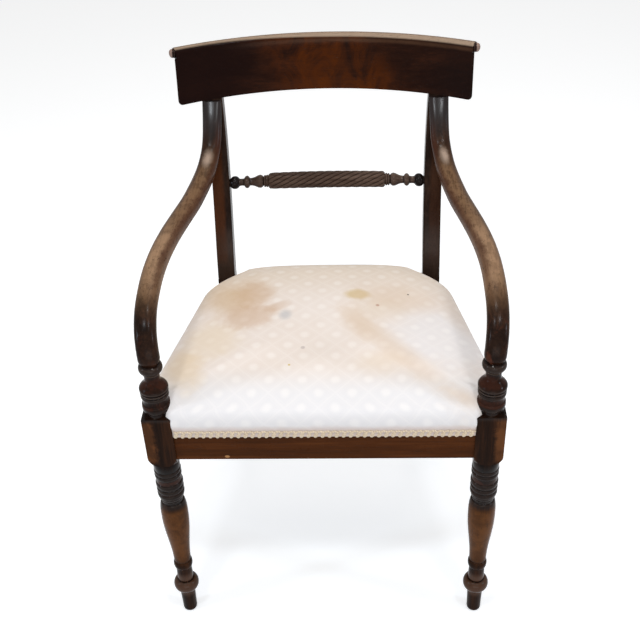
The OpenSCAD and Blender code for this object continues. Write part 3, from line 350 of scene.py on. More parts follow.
def arm_wear_and_painted_light(f, scuffs, streaks):
    """Hands have worn the arm pale along its top. Its sides and its low end are darker as painted shade, its
    rise is darker, and a painted highlight makes a pale patch where it rises to the crest.
    """
    x, y, z = f.axis("X"), f.axis("Y"), f.axis("Z")
    handled = f.ease(y, -0.255, -0.19) * (1 - f.ease(y, 0.08, 0.17))
    patches = f.ease(scuffs * 0.6 + streaks * 0.4, 0.4, 0.58)
    palest = f.band(y, -0.19, -0.06, 0.04)
    off_middle = f.math("ABSOLUTE", x) + f.ease(y, -0.17, 0.19) * 0.06 - 0.259 + (scuffs - 0.5) * 0.012
    high = f.ease(z, 0.63, 0.655)
    # Painted shade: both sides of the arm are made darker than its top.
    inner = (1 - f.ease(off_middle, -0.013, -0.003)) * high
    outer = f.ease(off_middle, 0.006, 0.015) * high
    nicks = f.ease(f.noise(f.stretched((1, 0.5, 1)), 150, 4, 0.7), 0.6, 0.66)
    # Painted shade where the arm turns down at the front; the bare reddish patches there are real wear.
    low = 1 - f.ease(z, 0.585, 0.64)
    bare = f.ease(f.noise(f.stretched((1, 1, 0.35)), 60, 5, 0.75, 0.6), 0.52, 0.62)
    right_arm = f.ease(x, -0.05, 0.05)
    # Painted highlight: a pale patch where the arm rises to the crest.
    along = ((y - 0.12) * 0.448 + (z - 0.693) * 0.894) * 0.55
    across = off_middle - 0.002
    away = (along * along + across * across) ** 0.5 + (scuffs - 0.5) * 0.005
    wear_and_highlight = 1 - f.ease(away, 0.0, 0.0115)
    rise = f.ease(z, 0.69, 0.742)
    return [(handled * (patches * 0.45 + 0.45), tint(122, 92, 66), 0.16),
        (palest * (patches * 0.45 + 0.4), tint(154, 122, 94), 0.1),
        (inner * 0.75, tint(66, 36, 24), 0.0),
        (outer * 0.65, tint(54, 32, 22), 0.0),
        (handled * nicks * 0.6, tint(44, 26, 18), 0.05),
        (low * 0.5, tint(26, 14, 10), 0.0),
        (low * bare * (right_arm * 0.4 + 0.15), tint(88, 46, 30), 0.15),
        (wear_and_highlight * 0.55, tint(200, 174, 154), -0.04),
        (rise * 0.9, tint(22, 17, 17), -0.06)]


def leg_wear_and_painted_glints(f, scuffs, streaks):
    """Dark rings with a painted highlight on their ridges, browner coves, a worn taper and foot, and the
    block's outer corner.
    """
    x, z = f.axis("X"), f.axis("Z")
    rings = f.ease(z, 0.266, 0.276) * (1 - f.ease(z, 0.346, 0.356)) + f.ease(z, 0.462, 0.468)
    # Painted highlight: the crests of the rings are made paler.
    painted_ring_glint = f.ease(f.node("NewGeometry", out="Pointiness") + (scuffs - 0.5) * 0.03, 0.52, 0.57)
    coves_below_block = f.band(z, 0.3225, 0.3305, 0.0015) + f.band(z, 0.2995, 0.301, 0.001)
    coves_above_block = f.band(z, 0.4825, 0.4965, 0.0015) + f.band(z, 0.518, 0.54, 0.004)
    coves = (coves_below_block + coves_above_block) * f.ease(scuffs, 0.38, 0.52)
    taper = f.ease(z, 0.12, 0.15) * (1 - f.ease(z, 0.255, 0.27))
    patches = f.ease(scuffs, 0.36, 0.6)
    foot_ball = f.band(z, 0.045, 0.096, 0.008)
    block = f.ease(z, 0.37, 0.385) * (1 - f.ease(z, 0.455, 0.466))
    outer = f.ease(f.math("ABSOLUTE", x) + (scuffs - 0.5) * 0.03, 0.256, 0.266)
    wear_and_highlight = f.ease(f.noise(f.stretched((1, 1, 0.5)), 30, 4, 0.6, 0.5), 0.46, 0.6)
    return [(rings * 0.7, tint(24, 15, 12), -0.05),
        (rings * painted_ring_glint * 0.4, tint(128, 108, 94), 0.0),
        (coves * 0.55, tint(66, 34, 22), 0.04),
        (taper * (patches * 0.4 + 0.45), tint(102, 63, 33), 0.05),
        (foot_ball * 0.6, tint(84, 55, 38), -0.03),
        (block * outer * (wear_and_highlight * 0.5 + 0.5), tint(96, 58, 32), 0.06)]


def post_wear_and_painted_sheen(f, scuffs, streaks):
    """The post's outer edge is lighter brown, most on the left one, and just above the seat it has a painted
    grey sheen.
    """
    x, z = f.axis("X"), f.axis("Z")
    height = f.math("MAXIMUM", (z - 0.452) / 0.311, 0.0)
    sweep = height * height * height * 0.009
    outer = f.ease(f.math("ABSOLUTE", x) - sweep + (scuffs - 0.5) * 0.006, 0.1785, 0.1865)
    reach = f.ease(z, 0.48, 0.5) * (1 - f.ease(z, 0.7, 0.74) * 0.7)
    right_post = f.ease(x, -0.05, 0.05)
    wear_and_highlight = outer * reach * (1 - right_post * 0.6)
    low = 1 - f.ease(z, 0.458, 0.464)
    # Painted highlight: a grey sheen on the post just above the seat.
    painted_sheen_above_seat = f.band(z, 0.468, 0.54, 0.02)
    return [(wear_and_highlight * (streaks * 0.5 + 0.45), tint(76, 41, 21), 0.03),
        (low * 0.5, tint(34, 19, 12), 0.0),
        (painted_sheen_above_seat * 0.5, tint(56, 42, 34), 0.0)]


def rope_wear(f, scuffs, streaks):
    """The last swell of each turned end, beside the post, is nearly black."""
    last_swell = f.band(f.math("ABSOLUTE", f.axis("X")), 0.1565, 0.173, 0.001)
    return [(last_swell * 0.95, tint(14, 9, 8), -0.04)]


def rail_wear(f, scuffs, streaks):
    """One pale chip in the face of the front rail, left of the middle."""
    chip_x, chip_z = -0.1514, 0.3866
    x, y, z = f.axis("X"), f.axis("Y"), f.axis("Z")
    away = ((x - chip_x) ** 2 + ((z - chip_z) * 1.5) ** 2) ** 0.5 + (scuffs - 0.5) * 0.004
    face = 1 - f.ease(y, -0.2925, -0.2915)
    chip = (1 - f.ease(away, 0.003, 0.0048)) * face
    return [(chip * 0.8, tint(176, 128, 84), 0.3)]


def beech():
    """Plain beech with its flecks, gone brown inside the seat."""
    f = Finish("corner block beech")
    grain = f.noise(f.stretched((0.1, 1, 1)), 160, 5, 0.6, 0.3)
    flecks = f.ease(f.noise(f.stretched((0.35, 1, 1)), 420, 2), 0.62, 0.68)
    age = f.noise(f.place, 18, 4, 0.6)
    colour = f.ramp(grain * 0.6 + age * 0.4, [(0.35, tint(120, 88, 56)), (0.65, tint(176, 140, 98))])
    colour = f.mix(flecks * 0.5, colour, tint(96, 64, 40))
    return f.surface(Base_Color=colour, Roughness=0.62 + age * 0.2, Normal=f.bump(grain, 0.0003))


def steel():
    """Screws and tacks with rust in small spots."""
    f = Finish("old steel")
    spots = f.noise(f.place, 700, 4, 0.7)
    colour = f.mix(f.ease(spots, 0.52, 0.62), tint(70, 68, 66), tint(74, 46, 30))
    return f.surface(Base_Color=colour, Metallic=0.85, Roughness=0.4 + spots * 0.3,
        Normal=f.bump(spots, 0.0001))


def woven(name, dark, light, pitch, relief):
    """Plain weave: threads over and under each other at one pitch."""
    f = Finish(name)
    first, second = (f.axis(letter) * (math.pi / pitch) for letter in ("X", "Y"))
    over = f.ease(f.math("SINE", first) * f.math("SINE", second), -0.4, 0.4)
    warp = f.math("ABSOLUTE", f.math("SINE", first + math.pi / 2))
    weft = f.math("ABSOLUTE", f.math("SINE", second + math.pi / 2))
    height = over * warp + (1 - over) * weft
    slub = f.noise(f.place, 90, 5, 0.7)
    colour = f.mix(height * 0.5 + slub * 0.5, tint(*dark), tint(*light))
    return f.surface(Base_Color=colour, Roughness=0.82 + slub * 0.1, Sheen_Weight=0.15,
        Normal=f.bump(height, relief))


def hair():
    """The curled hair of the stuffing."""
    f = Finish("curled hair")
    strands = f.noise(f.place, 260, 6, 0.8, 2.5)
    colour = f.ramp(strands, [(0.35, tint(38, 30, 26)), (0.6, tint(104, 84, 64))])
    return f.surface(Base_Color=colour, Roughness=0.8 + strands * 0.1, Normal=f.bump(strands, 0.002))


def damask():
    """Ivory damask: a trellis of diamonds with a soft roundel in each, satin on matt, and old stains."""
    f = Finish("stained damask")
    repeat_wide, repeat_long = 0.0512, 0.0505
    shift_s, shift_t = 20.7913, 20.4705
    rib_pitch, warp_pitch = 0.0011, 0.0007
    cloth = f.node("UVMap", {"uv_map": "cloth"})
    u, v = f.axis("X", cloth), f.axis("Y", cloth)
    wander = (f.noise(cloth, 60, 3, 0.6) - 0.5) * 0.12
    s = f.math("FRACT", u / repeat_wide + v / repeat_long + wander + shift_s) - 0.5
    t = f.math("FRACT", u / repeat_wide - v / repeat_long - wander + shift_t) - 0.5
    to_trellis = f.math("MINIMUM", 0.5 - f.math("ABSOLUTE", s), 0.5 - f.math("ABSOLUTE", t))
    to_centre = (s * s + t * t) ** 0.5
    petals = f.noise(cloth, 420, 2, 0.5) * 0.12
    roundel = (1 - f.ease(to_centre + petals, 0.14, 0.36)) * 0.6
    trellis = (1 - f.ease(to_trellis, 0.0, 0.1)) * 0.3 + f.band(to_trellis, 0.11, 0.13, 0.02) * 0.3
    flecks = f.ease(f.noise(cloth, 1500, 2), 0.42, 0.58)
    figure = f.math("MINIMUM", trellis + roundel, 1.0) * (flecks * 0.3 + 0.7)
    rib = f.math("SINE", v * (2 * math.pi / rib_pitch)) * 0.5 + 0.5
    warp = f.math("SINE", u * (2 * math.pi / warp_pitch)) * 0.5 + 0.5
    x, y, z = f.axis("X"), f.axis("Y"), f.axis("Z")
    clouds = f.noise(f.place, 9, 5, 0.62, 0.6)
    fine = f.noise(f.place, 38, 4, 0.6, 0.4)

    def patch(middle_x, middle_y, half_length, half_width, turn, softness):
        """A ragged oval on the seat, 1 inside it."""
        dx, dy = x - middle_x, y - middle_y
        cosine, sine = math.cos(turn), math.sin(turn)
        along = (dx * cosine + dy * sine) / half_length
        across = (dy * cosine - dx * sine) / half_width
        reach = (along * along + across * across) ** 0.5 + (clouds - 0.5) * 1.1 + (fine - 0.5) * 0.5
        return 1 - f.ease(reach, 1 - softness, 1 + softness * 0.4)

    ground = f.mix(clouds, tint(226, 210, 197), tint(237, 226, 218))
    # Painted light: the front of the seat is made cooler and more neutral, as under bluish light.
    painted_cool_light_at_front = f.ease(y, -0.2, -0.27)
    colour = f.mix(painted_cool_light_at_front * 0.9, ground, tint(228, 225, 225))
    colour = f.mix(patch(0.19, -0.14, 0.09, 0.09, 0.3, 0.6) * 0.6, colour, tint(232, 229, 230))
    rear = f.ease(y, -0.06, 0.08)
    colour = f.mix(rear * (0.4 + clouds * 0.4), colour, tint(223, 204, 181))
    colour = f.mix(figure * 0.55, colour, tint(252, 246, 240))

    # Each stain: the six values of its patch, its colour and its strength
    brown, tan = (196, 156, 116), (214, 186, 156)
    stains = [(-0.165, -0.005, 0.07, 0.08, 0.5, 0.9, (206, 176, 140), 0.8),
        (-0.185, -0.13, 0.05, 0.06, 0.0, 0.7, (224, 202, 170), 0.5),
        (0.09, -0.2, 0.05, 0.03, 0.0, 0.8, (228, 208, 184), 0.45),
        (0.09, -0.06, 0.05, 0.035, 0.2, 0.8, (220, 200, 176), 0.4),
        (-0.126, -0.005, 0.042, 0.05, 0.0, 0.5, brown, 0.4),
        (-0.128, -0.073, 0.055, 0.04, 0.15, 0.45, brown, 0.45),
        (-0.082, -0.052, 0.028, 0.014, 0.5, 0.6, brown, 0.35),
        (-0.067, -0.078, 0.013, 0.017, 0.0, 0.7, (170, 172, 176), 0.5),
        (0.052, -0.02, 0.022, 0.016, 0.0, 0.6, (206, 178, 122), 0.7),
        (0.125, -0.02, 0.07, 0.045, -0.1, 0.8, tan, 0.4),
        (0.05, -0.1, 0.03, 0.06, 0.45, 0.8, tan, 0.35),
        (0.115, -0.175, 0.15, 0.026, -0.86, 0.8, tan, 0.4),
        (0.215, -0.27, 0.04, 0.022, -0.5, 0.8, tan, 0.5),
        (0.225, -0.06, 0.025, 0.07, 0.2, 0.8, (204, 178, 152), 0.25),
        (-0.222, -0.205, 0.032, 0.06, 0.3, 0.8, (222, 194, 152), 0.5)]
    for *shape, stain, strength in stains:
        colour = f.mix(patch(*shape) * strength, colour, tint(*stain))

    # Each speck: its middle, its radius and its colour
    specks = [(0.1398, -0.012, 0.0017, (52, 38, 30)), (0.087, -0.052, 0.0032, (196, 160, 140)),
        (-0.034, -0.166, 0.0036, (206, 192, 184)), (-0.054, -0.205, 0.002, (214, 188, 120))]
    for middle_x, middle_y, radius, speck in specks:
        away = ((x - middle_x) ** 2 + (y - middle_y) ** 2) ** 0.5
        colour = f.mix(1 - f.ease(away, radius * 0.6, radius * 1.3), colour, tint(*speck))

    # Painted shade: a pinkish grey band low on the cover, where it turns under above the gimp.
    painted_shade_above_gimp = 1 - f.ease(z + (fine - 0.5) * 0.012, 0.443, 0.456)
    colour = f.mix(painted_shade_above_gimp * (0.35 + fine * 0.5), colour, tint(205, 182, 170))
    height = figure * 0.6 + rib * 0.2 + warp * 0.12 + fine * 0.15
    return f.surface(Base_Color=colour, Roughness=0.8 - figure * 0.18, Sheen_Weight=0.12,
        Sheen_Roughness=0.4, Specular_IOR_Level=0.3, Normal=f.bump(height, 0.0003, 0.8))


def braid():
    """Twisted silk cord over a browner tape, which is darkened as painted shade where it shows in the gaps
    between the loops.
    """
    f = Finish("gimp braid")
    wound = f.node("UVMap", {"uv_map": "cloth"})
    round_it, along = f.axis("X", wound), f.axis("Y", wound)
    ply = f.math("SINE", (round_it + along) * (2 * math.pi)) * 0.5 + 0.5
    dust = f.noise(f.place, 60, 4, 0.6)
    # Painted shade: the tape is darker where it shows between the loops.
    tape_and_gap_shade = f.ease(round_it, 1.2, 1.6)
    colour = f.mix(ply * 0.45 + dust * 0.55, tint(190, 166, 136), tint(236, 219, 192))
    colour = f.mix(tape_and_gap_shade * (0.55 + dust * 0.5), colour, tint(146, 119, 95))
    return f.surface(Base_Color=colour, Roughness=0.7 + dust * 0.15, Sheen_Weight=0.1,
        Normal=f.bump(ply, 0.0003, 0.8))


# Pieces

def only(piece):
    """Makes this piece the one that is selected and active."""
    bpy.ops.object.select_all(action="DESELECT")
    piece.select_set(True)
    bpy.context.view_layer.objects.active = piece


def stands_for(piece, slot, finish, *nodes):
    """Puts a finished piece in the place of its CAD nodes."""
    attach(piece, "root")
    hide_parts(*nodes)
    piece.data.materials.clear()
    piece.data.materials.append(finish)


def merged_copy(node, name):
    """A copy of a CAD node whose loose triangles are joined and shaded smooth."""
    piece = bpy.data.objects.new(name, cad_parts[node].data.copy())
    bpy.context.scene.collection.objects.link(piece)
    only(piece)
    bpy.ops.mesh.customdata_custom_splitnormals_clear()
    bpy.ops.object.mode_set(mode="EDIT")
    bpy.ops.mesh.select_all(action="SELECT")
    bpy.ops.mesh.remove_doubles(threshold=0.00001)
    bpy.ops.object.mode_set(mode="OBJECT")
    bpy.ops.object.shade_smooth_by_angle(angle=math.radians(35))
    return piece


def rolled_grid(name, across, along, place, chart):
    """A grid whose rows are moved in code onto the rings of a form, with a UV map of the cloth on it.
    place gives each point, and chart its place on the flat cloth."""
    bpy.ops.object.select_all(action="DESELECT")
    bpy.ops.mesh.primitive_grid_add(x_subdivisions=across, y_subdivisions=along, size=2)
    piece = bpy.context.active_object
    piece.name = name
    steps = {}
    for vertex in piece.data.vertices:
        i = round((vertex.co.x + 1) / 2 * across)
        j = round((vertex.co.y + 1) / 2 * along)
        steps[vertex.index] = (i, j)
        vertex.co = place(i, j)
    layer = piece.data.uv_layers.new(name="cloth")
    for loop in piece.data.loops:
        layer.data[loop.index].uv = chart(*steps[loop.vertex_index])
    bpy.ops.object.mode_set(mode="EDIT")
    bpy.ops.mesh.select_all(action="SELECT")
    bpy.ops.mesh.remove_doubles(threshold=0.00001)
    bpy.ops.mesh.normals_make_consistent(inside=False)
    bpy.ops.object.mode_set(mode="OBJECT")
    only(piece)
    return piece


def close_ends(piece):
    """Closes the open ends of a rolled grid."""
    only(piece)
    bpy.ops.object.mode_set(mode="EDIT")
    bpy.ops.mesh.select_mode(type="VERT")
    bpy.ops.mesh.select_all(action="DESELECT")
    bpy.ops.mesh.select_non_manifold(extend=False)
    bpy.ops.mesh.edge_face_add()
    bpy.ops.mesh.select_all(action="SELECT")
    bpy.ops.mesh.normals_make_consistent(inside=False)
    bpy.ops.object.mode_set(mode="OBJECT")


def thicken(piece, thickness, offset):
    """Gives a sheet its thickness, to one side or both."""
    solid = piece.modifiers.new("thickness", "SOLIDIFY")
    solid.thickness = thickness
    solid.offset = offset
    bpy.ops.object.modifier_apply(modifier=solid.name)


def joined(name, pieces, angle):
    """One piece of several, shaded smooth up to an angle."""
    bpy.ops.object.select_all(action="DESELECT")
    for piece in pieces:
        piece.select_set(True)
    bpy.context.view_layer.objects.active = pieces[0]
    bpy.ops.object.join()
    piece = bpy.context.active_object
    piece.name = name
    bpy.ops.object.shade_smooth_by_angle(angle=math.radians(angle))
    return piece


# The carved rope rail: a lobed bar drawn out and twisted, between two turned ends

def drawn_out(name, sections, sides, lobes=()):
    """A bar along X: a disc is drawn out from section to section, each given as (x, y, z, radius, turn).
    lobes gives the disc's shrinking from the hollow between two lobes to the crest of one."""
    x, y, z, radius, turn = sections[0]
    bpy.ops.object.select_all(action="DESELECT")
    bpy.ops.mesh.primitive_circle_add(vertices=sides, radius=radius, fill_type="NGON", location=(x, y, z),
        rotation=(0, math.pi / 2, 0))
    piece = bpy.context.active_object
    piece.name = name
    per_lobe = 2 * (len(lobes) - 1)
    for step, scale in enumerate(lobes):
        for part in (piece.data.polygons, piece.data.edges, piece.data.vertices):
            for item in part:
                item.select = False
        for vertex in piece.data.vertices:
            vertex.select = vertex.index % per_lobe in (step, (per_lobe - step) % per_lobe)
        bpy.ops.object.mode_set(mode="EDIT")
        bpy.ops.mesh.select_mode(type="VERT")
        bpy.ops.transform.resize(value=(1, scale, scale), center_override=(x, y, z))
        bpy.ops.object.mode_set(mode="OBJECT")
    bpy.ops.object.mode_set(mode="EDIT")
    bpy.ops.mesh.select_mode(type="FACE")
    bpy.ops.mesh.select_all(action="SELECT")
    for next_x, next_y, next_z, next_radius, next_turn in sections[1:]:
        move = (next_x - x, next_y - y, next_z - z)
        bpy.ops.mesh.extrude_region_move(TRANSFORM_OT_translate={"value": move})
        middle = (next_x, next_y, next_z)
        scale = next_radius / radius
        bpy.ops.transform.resize(value=(1, scale, scale), center_override=middle)
        if next_turn != turn:
            bpy.ops.transform.rotate(value=next_turn - turn, orient_axis="X", center_override=middle)
        x, y, z, radius, turn = next_x, next_y, next_z, next_radius, next_turn
    bpy.ops.mesh.select_all(action="SELECT")
    bpy.ops.mesh.normals_make_consistent(inside=False)
    bpy.ops.object.mode_set(mode="OBJECT")
    only(piece)
    bpy.ops.object.transform_apply(location=True, rotation=True, scale=True)
    return piece


def rope_rail():
    """The carved rope and its turned ends in one piece, bowed back with the crest."""
    low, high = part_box("rope_rail")
    z = (low.z + high.z) / 2
    half_rope, half_rail = 0.104, 0.17293
    half_thickness, bow = 0.015, 0.0085
    lay = 0.16
    hollow = 0.15
    rings, rope_sides, end_sides = 72, 120, 48
    thin, swell, drop = 0.01447, 0.00053, 0.0026
    shoulder = 0.0035

    def middle(x):
        return high.y - half_thickness - bow + bow * max(0.0, 1 - (x / half_rail) ** 2)

    lobes = [1 - hollow * (1 - math.sin(math.pi * k / 12) ** 0.75) for k in range(7)]
    rope = []
    for i in range(rings + 1):
        x = -half_rope + 2 * half_rope * i / rings
        near_end = min(1.0, (half_rope - abs(x)) / shoulder)
        radius = thin + swell * (1 - (x / half_rope) ** 2) - drop * (1 - math.sin(near_end * math.pi / 2))
        rope.append((x, middle(x), z, radius, 2 * math.pi * x / lay))

    # The profile of a turned end in millimetres: distance from the rope's end, and radius
    profile = [(-2, 8), (0.7, 9.9), (1.5, 11), (2.6, 11.4), (3.7, 11), (4.5, 9.9), (4.8, 9.6), (5.6, 10.7),
        (6.55, 11.1), (7.5, 10.7), (8.3, 9.6), (8.7, 8), (9.6, 8.6), (10.7, 9.9), (12, 10.9), (13.6, 11.6),
        (15.4, 11.8), (17.2, 11.55), (19.2, 10.9), (21.4, 9.9), (23.8, 8.75), (26.4, 7.75), (29, 7.1),
        (31.5, 6.85), (33.2, 6.8), (34.1, 7.6), (35, 9.3), (36.6, 10.8), (38.7, 11.4), (40.8, 10.8),
        (42.4, 9.3), (43.3, 7.6), (44.2, 6.7), (46, 6.4), (48.3, 6.3), (50.5, 6.4), (52, 6.8), (52.8, 7.4),
        (54, 9.2), (56, 10.7), (58.2, 11.5), (60.3, 11.7), (62.5, 11.5), (64.6, 10.7), (66.6, 9.2),
        (67.8, 7.6), (68.8, 7.5), (69, 4.5), (81.5, 4.5)]
    bars = [drawn_out("carved_rope", rope, rope_sides, lobes)]
    for side in (-1, 1):
        places = [(side * (half_rope + along * MM), radius * MM) for along, radius in profile]
        sections = [(x, middle(x), z, radius, 0.0) for x, radius in places]
        bars.append(drawn_out("turned_end", sections, end_sides))
    return joined("carved_rope_rail", bars, 50)


# The seat cover, drawn over the stuffing and tucked in round the blocks and the posts

def smooth_rows(rows, steps):
    """A smooth curve through the rows, with the same number of steps between each pair."""
    padded = [rows[0]] + rows + [rows[-1]]
    made = []
    for a, b, c, d in zip(padded, padded[1:], padded[2:], padded[3:]):
        for step in range(steps):
            t = step / steps
            made.append([q + (r - p) * t / 2 + (2 * p - 5 * q + 4 * r - s) * t * t / 2
                + (3 * q - p - 3 * r + s) * t ** 3 / 2 for p, q, r, s in zip(a, b, c, d)])
    return made + [rows[-1]]


def seat_cover():
    """The damask in rings, from its raw edge under the gimp over the stuffing to the crown."""
    # All lengths here are millimetres
    front, back, middle = -294.5, 126.0, -84.25
    block_back, post_front = -252, 97.5
    half_width, taper, cover_out = 274.5, 0.21173, 1.5
    mean_half_width = 230
    cut_start, cut_length = 0.78, 0.22
    corner_cut, rear_cut = 44.4, 8
    crown, base = 61.0, 443.0
    widest = 277.6
    thickness, unevenness = 1.2, 0.9
    front_steps, side_steps, back_steps = 34, 44, 16

    # Each row: its size against the outline, its share of the crown, and how far its rear corners are cut
    rows = [[1, -0.21, 0], [1, -0.04, 0], [1.004, 0.05, 0.12], [1.009, 0.16, 0.48], [1.008, 0.29, 0.93],
        [0.998, 0.43, 1], [0.975, 0.54, 1], [0.938, 0.61, 1], [0.88, 0.68, 1], [0.78, 0.775, 0.9],
        [0.62, 0.87, 0.7], [0.42, 0.95, 0.4], [0.2, 0.99, 0.2], [0.0, 1.0, 0.1]]
    levels = smooth_rows(rows, 3)

    def edge(y, ease):
        """Half the seat's width at y."""
        late = max(0.0, ((y - block_back) / (post_front - block_back) - cut_start) / cut_length)
        return half_width - taper * (y - block_back) + cover_out - ease * corner_cut * late ** 2

    def rear(ease):
        return back - rear_cut * ease ** 2

    def back_line(share, ease):
        """The rear edge, from its middle at share 0 to the post at share 1."""
        return rear(ease) - ease * (rear(ease) - post_front) * (1 - math.sqrt(1 - share ** 3))

    def plan(ease):
        """The outline, from the middle of the front round the right side, the rear and the left side."""
        right = [(edge(front, ease) * i / front_steps, front) for i in range(front_steps)]
        for i in range(side_steps):
            y = front + (post_front - front) * i / side_steps
            right.append((edge(y, ease), y))
        for i in range(back_steps, 0, -1):
            y = post_front if i == back_steps else back_line(i / back_steps, ease)
            right.append((edge(post_front, ease) * i / back_steps, y))
        return right + [(0, rear(ease))] + [(-x, y) for x, y in reversed(right[1:])]

    plans = [plan(ease) for scale, share, ease in levels]
    outer = plan(0)
    across = len(outer)

    # The inner corners of the front blocks and of the posts, and the way in y in which each stands
    corners = ((231.1, -251.6, -1), (171.1, 97.1, 1))

    def tucked(x, y):
        """Keeps the cloth within the side gimp and out of the blocks and the posts."""
        side = math.copysign(1, x)
        x = side * min(abs(x), widest)
        for corner_x, corner_y, way in corners:
            over_x, over_y = abs(x) - corner_x, (y - corner_y) * way
            if over_x > 0 and over_y > 0:
                if over_x < over_y:
                    x = side * corner_x
                else:
                    y = corner_y
        return x, y

    def point(i, j):
        scale, share, ease = levels[j]
        x, y = plans[j][i % across]
        x, y = tucked(x * scale, middle + (y - middle) * scale)
        wave = math.sin(x * 0.021 + 1.3) * math.cos(y * 0.017 + 0.4) * unevenness
        lift = share * crown + wave * min(1.0, max(0.0, share - 0.5) * 3)
        return x, y, base + lift

    def place(i, j):
        return Vector(point(i, j)) * MM

    # How far each ring of the border lies from the top of the seat, along the cloth
    drops = [0.0] * len(levels)
    top = next(j for j, level in enumerate(levels) if level[1] > 0.6)
    for j in range(top - 1, -1, -1):
        a, b = levels[j], levels[j + 1]
        drops[j] = drops[j + 1] + math.hypot((b[0] - a[0]) * mean_half_width, (b[1] - a[1]) * crown)

    def chart(i, j):
        """The flat cloth: the top as it lies, and the border folded out from it."""
        x, y, z = point(i, max(j, top))
        if j < top:
            before, after = outer[(i - 1) % across], outer[(i + 1) % across]
            along = Vector((after[0] - before[0], after[1] - before[1])).normalized()
            x += along.y * drops[j]
            y -= along.x * drops[j]
        return x * MM, y * MM

    piece = rolled_grid("damask_seat_cover", across, len(levels) - 1, place, chart)
    thicken(piece, thickness * MM, -1)
    bpy.ops.object.shade_smooth_by_angle(angle=math.radians(60))
    return piece


# The gimp: a looped cord laid over a narrow tape, along the raw edge of the cover

def gimp(name, start, end, outward):
    """One length of gimp between two points in millimetres, with its face turned outward."""
    height = 435.6 * MM
    loop_pitch, loop_rise, loop_run, lean = 0.0107, 0.0056, 0.0038, 0.35
    end_room = 0.0014
    cord_out, cord_sway = 0.0016, 0.0007
    cord_wide, cord_thick = 0.0019, 0.0013
    cord_sides, rings_per_loop = 7, 22
    twist_per_ring = 0.45
    tape_half, tape_back, tape_front = 0.0062, 0.0001, 0.0005

    start, end, outward = Vector(start) * MM, Vector(end) * MM, Vector(outward).normalized()
    length = (end - start).length
    along = (end - start).normalized()
    up = Vector((0, 0, 1))
    loops = round(length / loop_pitch)
    pitch = length / loops
    rings = loops * rings_per_loop

    def centre(turns):
        """The middle of the cord after so many loops."""
        a = 2 * math.pi * turns
        rise = loop_rise * math.cos(a)
        run = pitch * turns + loop_run * math.sin(a) + rise * lean
        run = min(max(run, end_room), length - end_room)
        out = cord_out + cord_sway * math.sin(a + 0.6)
        return start + along * run + up * (height + rise) + outward * out

    def cord_place(i, j):
        turns = loops * j / rings
        ahead = (centre(turns + 0.01) - centre(turns - 0.01)).normalized()
        side = ahead.cross(outward).normalized()
        a = 2 * math.pi * i / cord_sides
        return centre(turns) + side * (cord_wide * math.cos(a)) + outward * (cord_thick * math.sin(a))

    def cord_chart(i, j):
        return i / cord_sides, j * twist_per_ring

    tape_ring = ((-tape_half, tape_back), (-tape_half, tape_front), (tape_half, tape_front),
        (tape_half, tape_back), (-tape_half, tape_back))

    def tape_place(i, j):
        rise, out = tape_ring[i]
        return start + along * (length * j / loops) + up * (height + rise) + outward * out

    def tape_chart(i, j):
        """Off the cord's part of the map, so that the braid's finish can tell the tape."""
        return 2.0, j

    cord = rolled_grid(name + "_cord", cord_sides, rings, cord_place, cord_chart)
    close_ends(cord)
    tape = rolled_grid(name + "_tape", len(tape_ring) - 1, loops, tape_place, tape_chart)
    close_ends(tape)
    return joined(name, [cord, tape], 60)


# The black cloth stretched under the rails

def bottom_cloth():
    """The cloth cut round the blocks and the posts, with a hem, and the area of its one side."""
    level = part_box("bottom_cloth")[0].z + 0.0001
    thickness = 0.5 * MM
    hem, hem_step = 0.012, 0.0002
    outline = [(230.5, -286.0), (230.5, -251.0), (268.3, -251.0),
        (194.6, 96.5), (170.5, 96.5), (170.5, 118.5)]
    outline += [(-x, y) for x, y in reversed(outline)]
    bpy.ops.object.select_all(action="DESELECT")
    bpy.ops.mesh.primitive_circle_add(vertices=len(outline), radius=0.3, fill_type="NGON",
        location=(0, 0, 0))
    piece = bpy.context.active_object
    piece.name = "stretched_bottom_cloth"
    for vertex, (x, y) in zip(piece.data.vertices, outline):
        vertex.co = (x * MM, y * MM, level)
    bpy.ops.object.mode_set(mode="EDIT")
    bpy.ops.mesh.select_all(action="SELECT")
    bpy.ops.mesh.normals_make_consistent(inside=False)
    bpy.ops.mesh.inset(thickness=hem)
    bpy.ops.transform.translate(value=(0, 0, hem_step))
    bpy.ops.object.mode_set(mode="OBJECT")
    thicken(piece, thickness, 0)
    area = sum(polygon.area for polygon in piece.data.polygons) / 2
    return piece, area


place_camera()
studio()
floor()

# The finishes of this chair

crest_finish = mahogany("crest mahogany", "x", (26, 11, 7), (35, 17, 10), (50, 25, 14),
    wear_and_painted_light=crest_wear_and_painted_light, roughness=0.17, specular=0.03)
button_finish = mahogany("button mahogany", "x", (20, 9, 6), (34, 17, 10), (50, 26, 15),
    wear_and_painted_light=button_wear, polish=button_polish)
arm_finish = mahogany("arm mahogany", "y", (22, 12, 7), (42, 26, 17), (66, 43, 29),
    wear_and_painted_light=arm_wear_and_painted_light, polish=arm_polish, coat_roughness=0.26)
leg_finish = mahogany("leg mahogany", "z", (20, 10, 6), (36, 20, 11), (60, 34, 18),
    wear_and_painted_light=leg_wear_and_painted_glints, roughness=0.16, hollow_darkening=0.8, polish=leg_polish)
post_finish = mahogany("post mahogany", "z", (22, 13, 9), (36, 24, 18), (52, 36, 27),
    wear_and_painted_light=post_wear_and_painted_sheen, polish=post_polish)
rail_finish = mahogany("rail mahogany", "x", (56, 28, 8), (70, 35, 11), (86, 46, 18),
    wear_and_painted_light=rail_wear, roughness=0.28)
side_finish = mahogany("side rail mahogany", "y", (58, 26, 9), (74, 35, 13), (92, 47, 20), roughness=0.28)
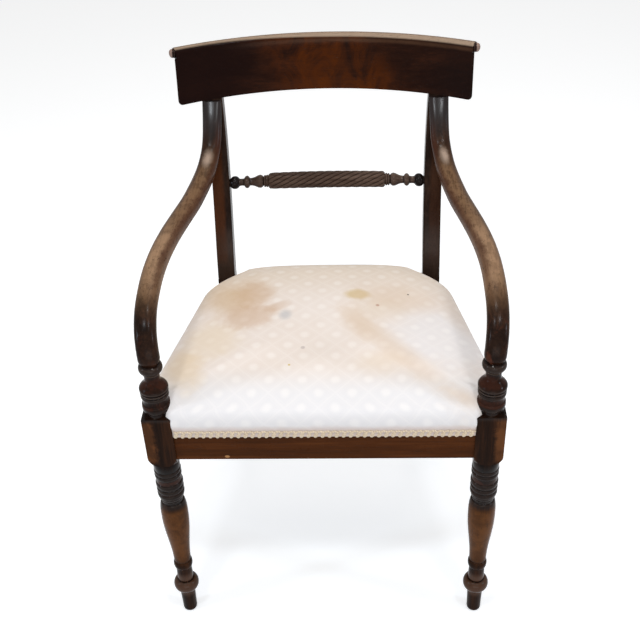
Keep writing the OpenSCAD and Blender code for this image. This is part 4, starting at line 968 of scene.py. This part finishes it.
rope_finish = mahogany("rope mahogany", "x", (40, 28, 22), (66, 50, 41), (92, 74, 63),
    wear_and_painted_light=rope_wear, roughness=0.2, hollow_darkening=0.9, polish=rope_polish)
webbing_finish = woven("jute webbing", (96, 80, 58), (168, 146, 112), 0.0016, 0.0006)
hessian_finish = woven("hessian", (104, 84, 54), (178, 150, 108), 0.0013, 0.0005)
black_finish = woven("black bottom cloth", (12, 12, 13), (34, 33, 33), 0.0009, 0.0003)
braid_finish = braid()

# The CAD nodes that stay, with their finishes

kept = [
    (rail_finish, ["front_rail", "back_rail"]),
    (side_finish, ["side_rail_left", "side_rail_right"]),
    (post_finish, ["back_post_left", "back_post_right", "arm_plugs"]),
    (beech(), ["corner_block_front_left", "corner_block_front_right", "corner_block_back_left",
        "corner_block_back_right"]),
    (steel(), ["corner_block_screws", "arm_screws", "webbing_tacks", "bottom_cloth_tacks"]),
    (webbing_finish, ["long_webs", "cross_webs"]),
    (hessian_finish, ["hessian"]),
    (hair(), ["seat_stuffing"])]
for finish, nodes in kept:
    for node in nodes:
        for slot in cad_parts[node].material_slots:
            slot.material = finish

# The wooden pieces that take the place of a CAD node

for node, name, finish in (
        ("front_leg_left", "turned_leg_left", leg_finish),
        ("front_leg_right", "turned_leg_right", leg_finish),
        ("crest_rail", "crest_tablet", crest_finish),
        ("crest_buttons", "turned_crest_buttons", button_finish),
        ("arm_left", "swept_arm_left", arm_finish),
        ("arm_right", "swept_arm_right", arm_finish)):
    stands_for(merged_copy(node, name), "mahogany", finish, node)
stands_for(rope_rail(), "mahogany", rope_finish, "rope_rail")

# The soft pieces

cover = seat_cover()
stands_for(cover, "damask", damask(), "seat_cover")

for name, node, start, end, outward in (
        ("looped_gimp_front", "gimp_front", (-231.2, -294.8, 0), (231.2, -294.8, 0), (0, -1, 0)),
        ("looped_gimp_back", "gimp_back", (171.2, 126.3, 0), (-171.2, 126.3, 0), (0, 1, 0)),
        ("looped_gimp_right", "gimp_right", (276.3, -251.6, 0), (202.4, 97.1, 0), (1, 0.21173, 0)),
        ("looped_gimp_left", "gimp_left", (-202.4, 97.1, 0), (-276.3, -251.6, 0), (-1, 0.21173, 0))):
    stands_for(gimp(name, start, end, outward), "gimp", braid_finish, node)

under, under_area = bottom_cloth()
stands_for(under, "bottom_cloth", black_finish, "bottom_cloth")
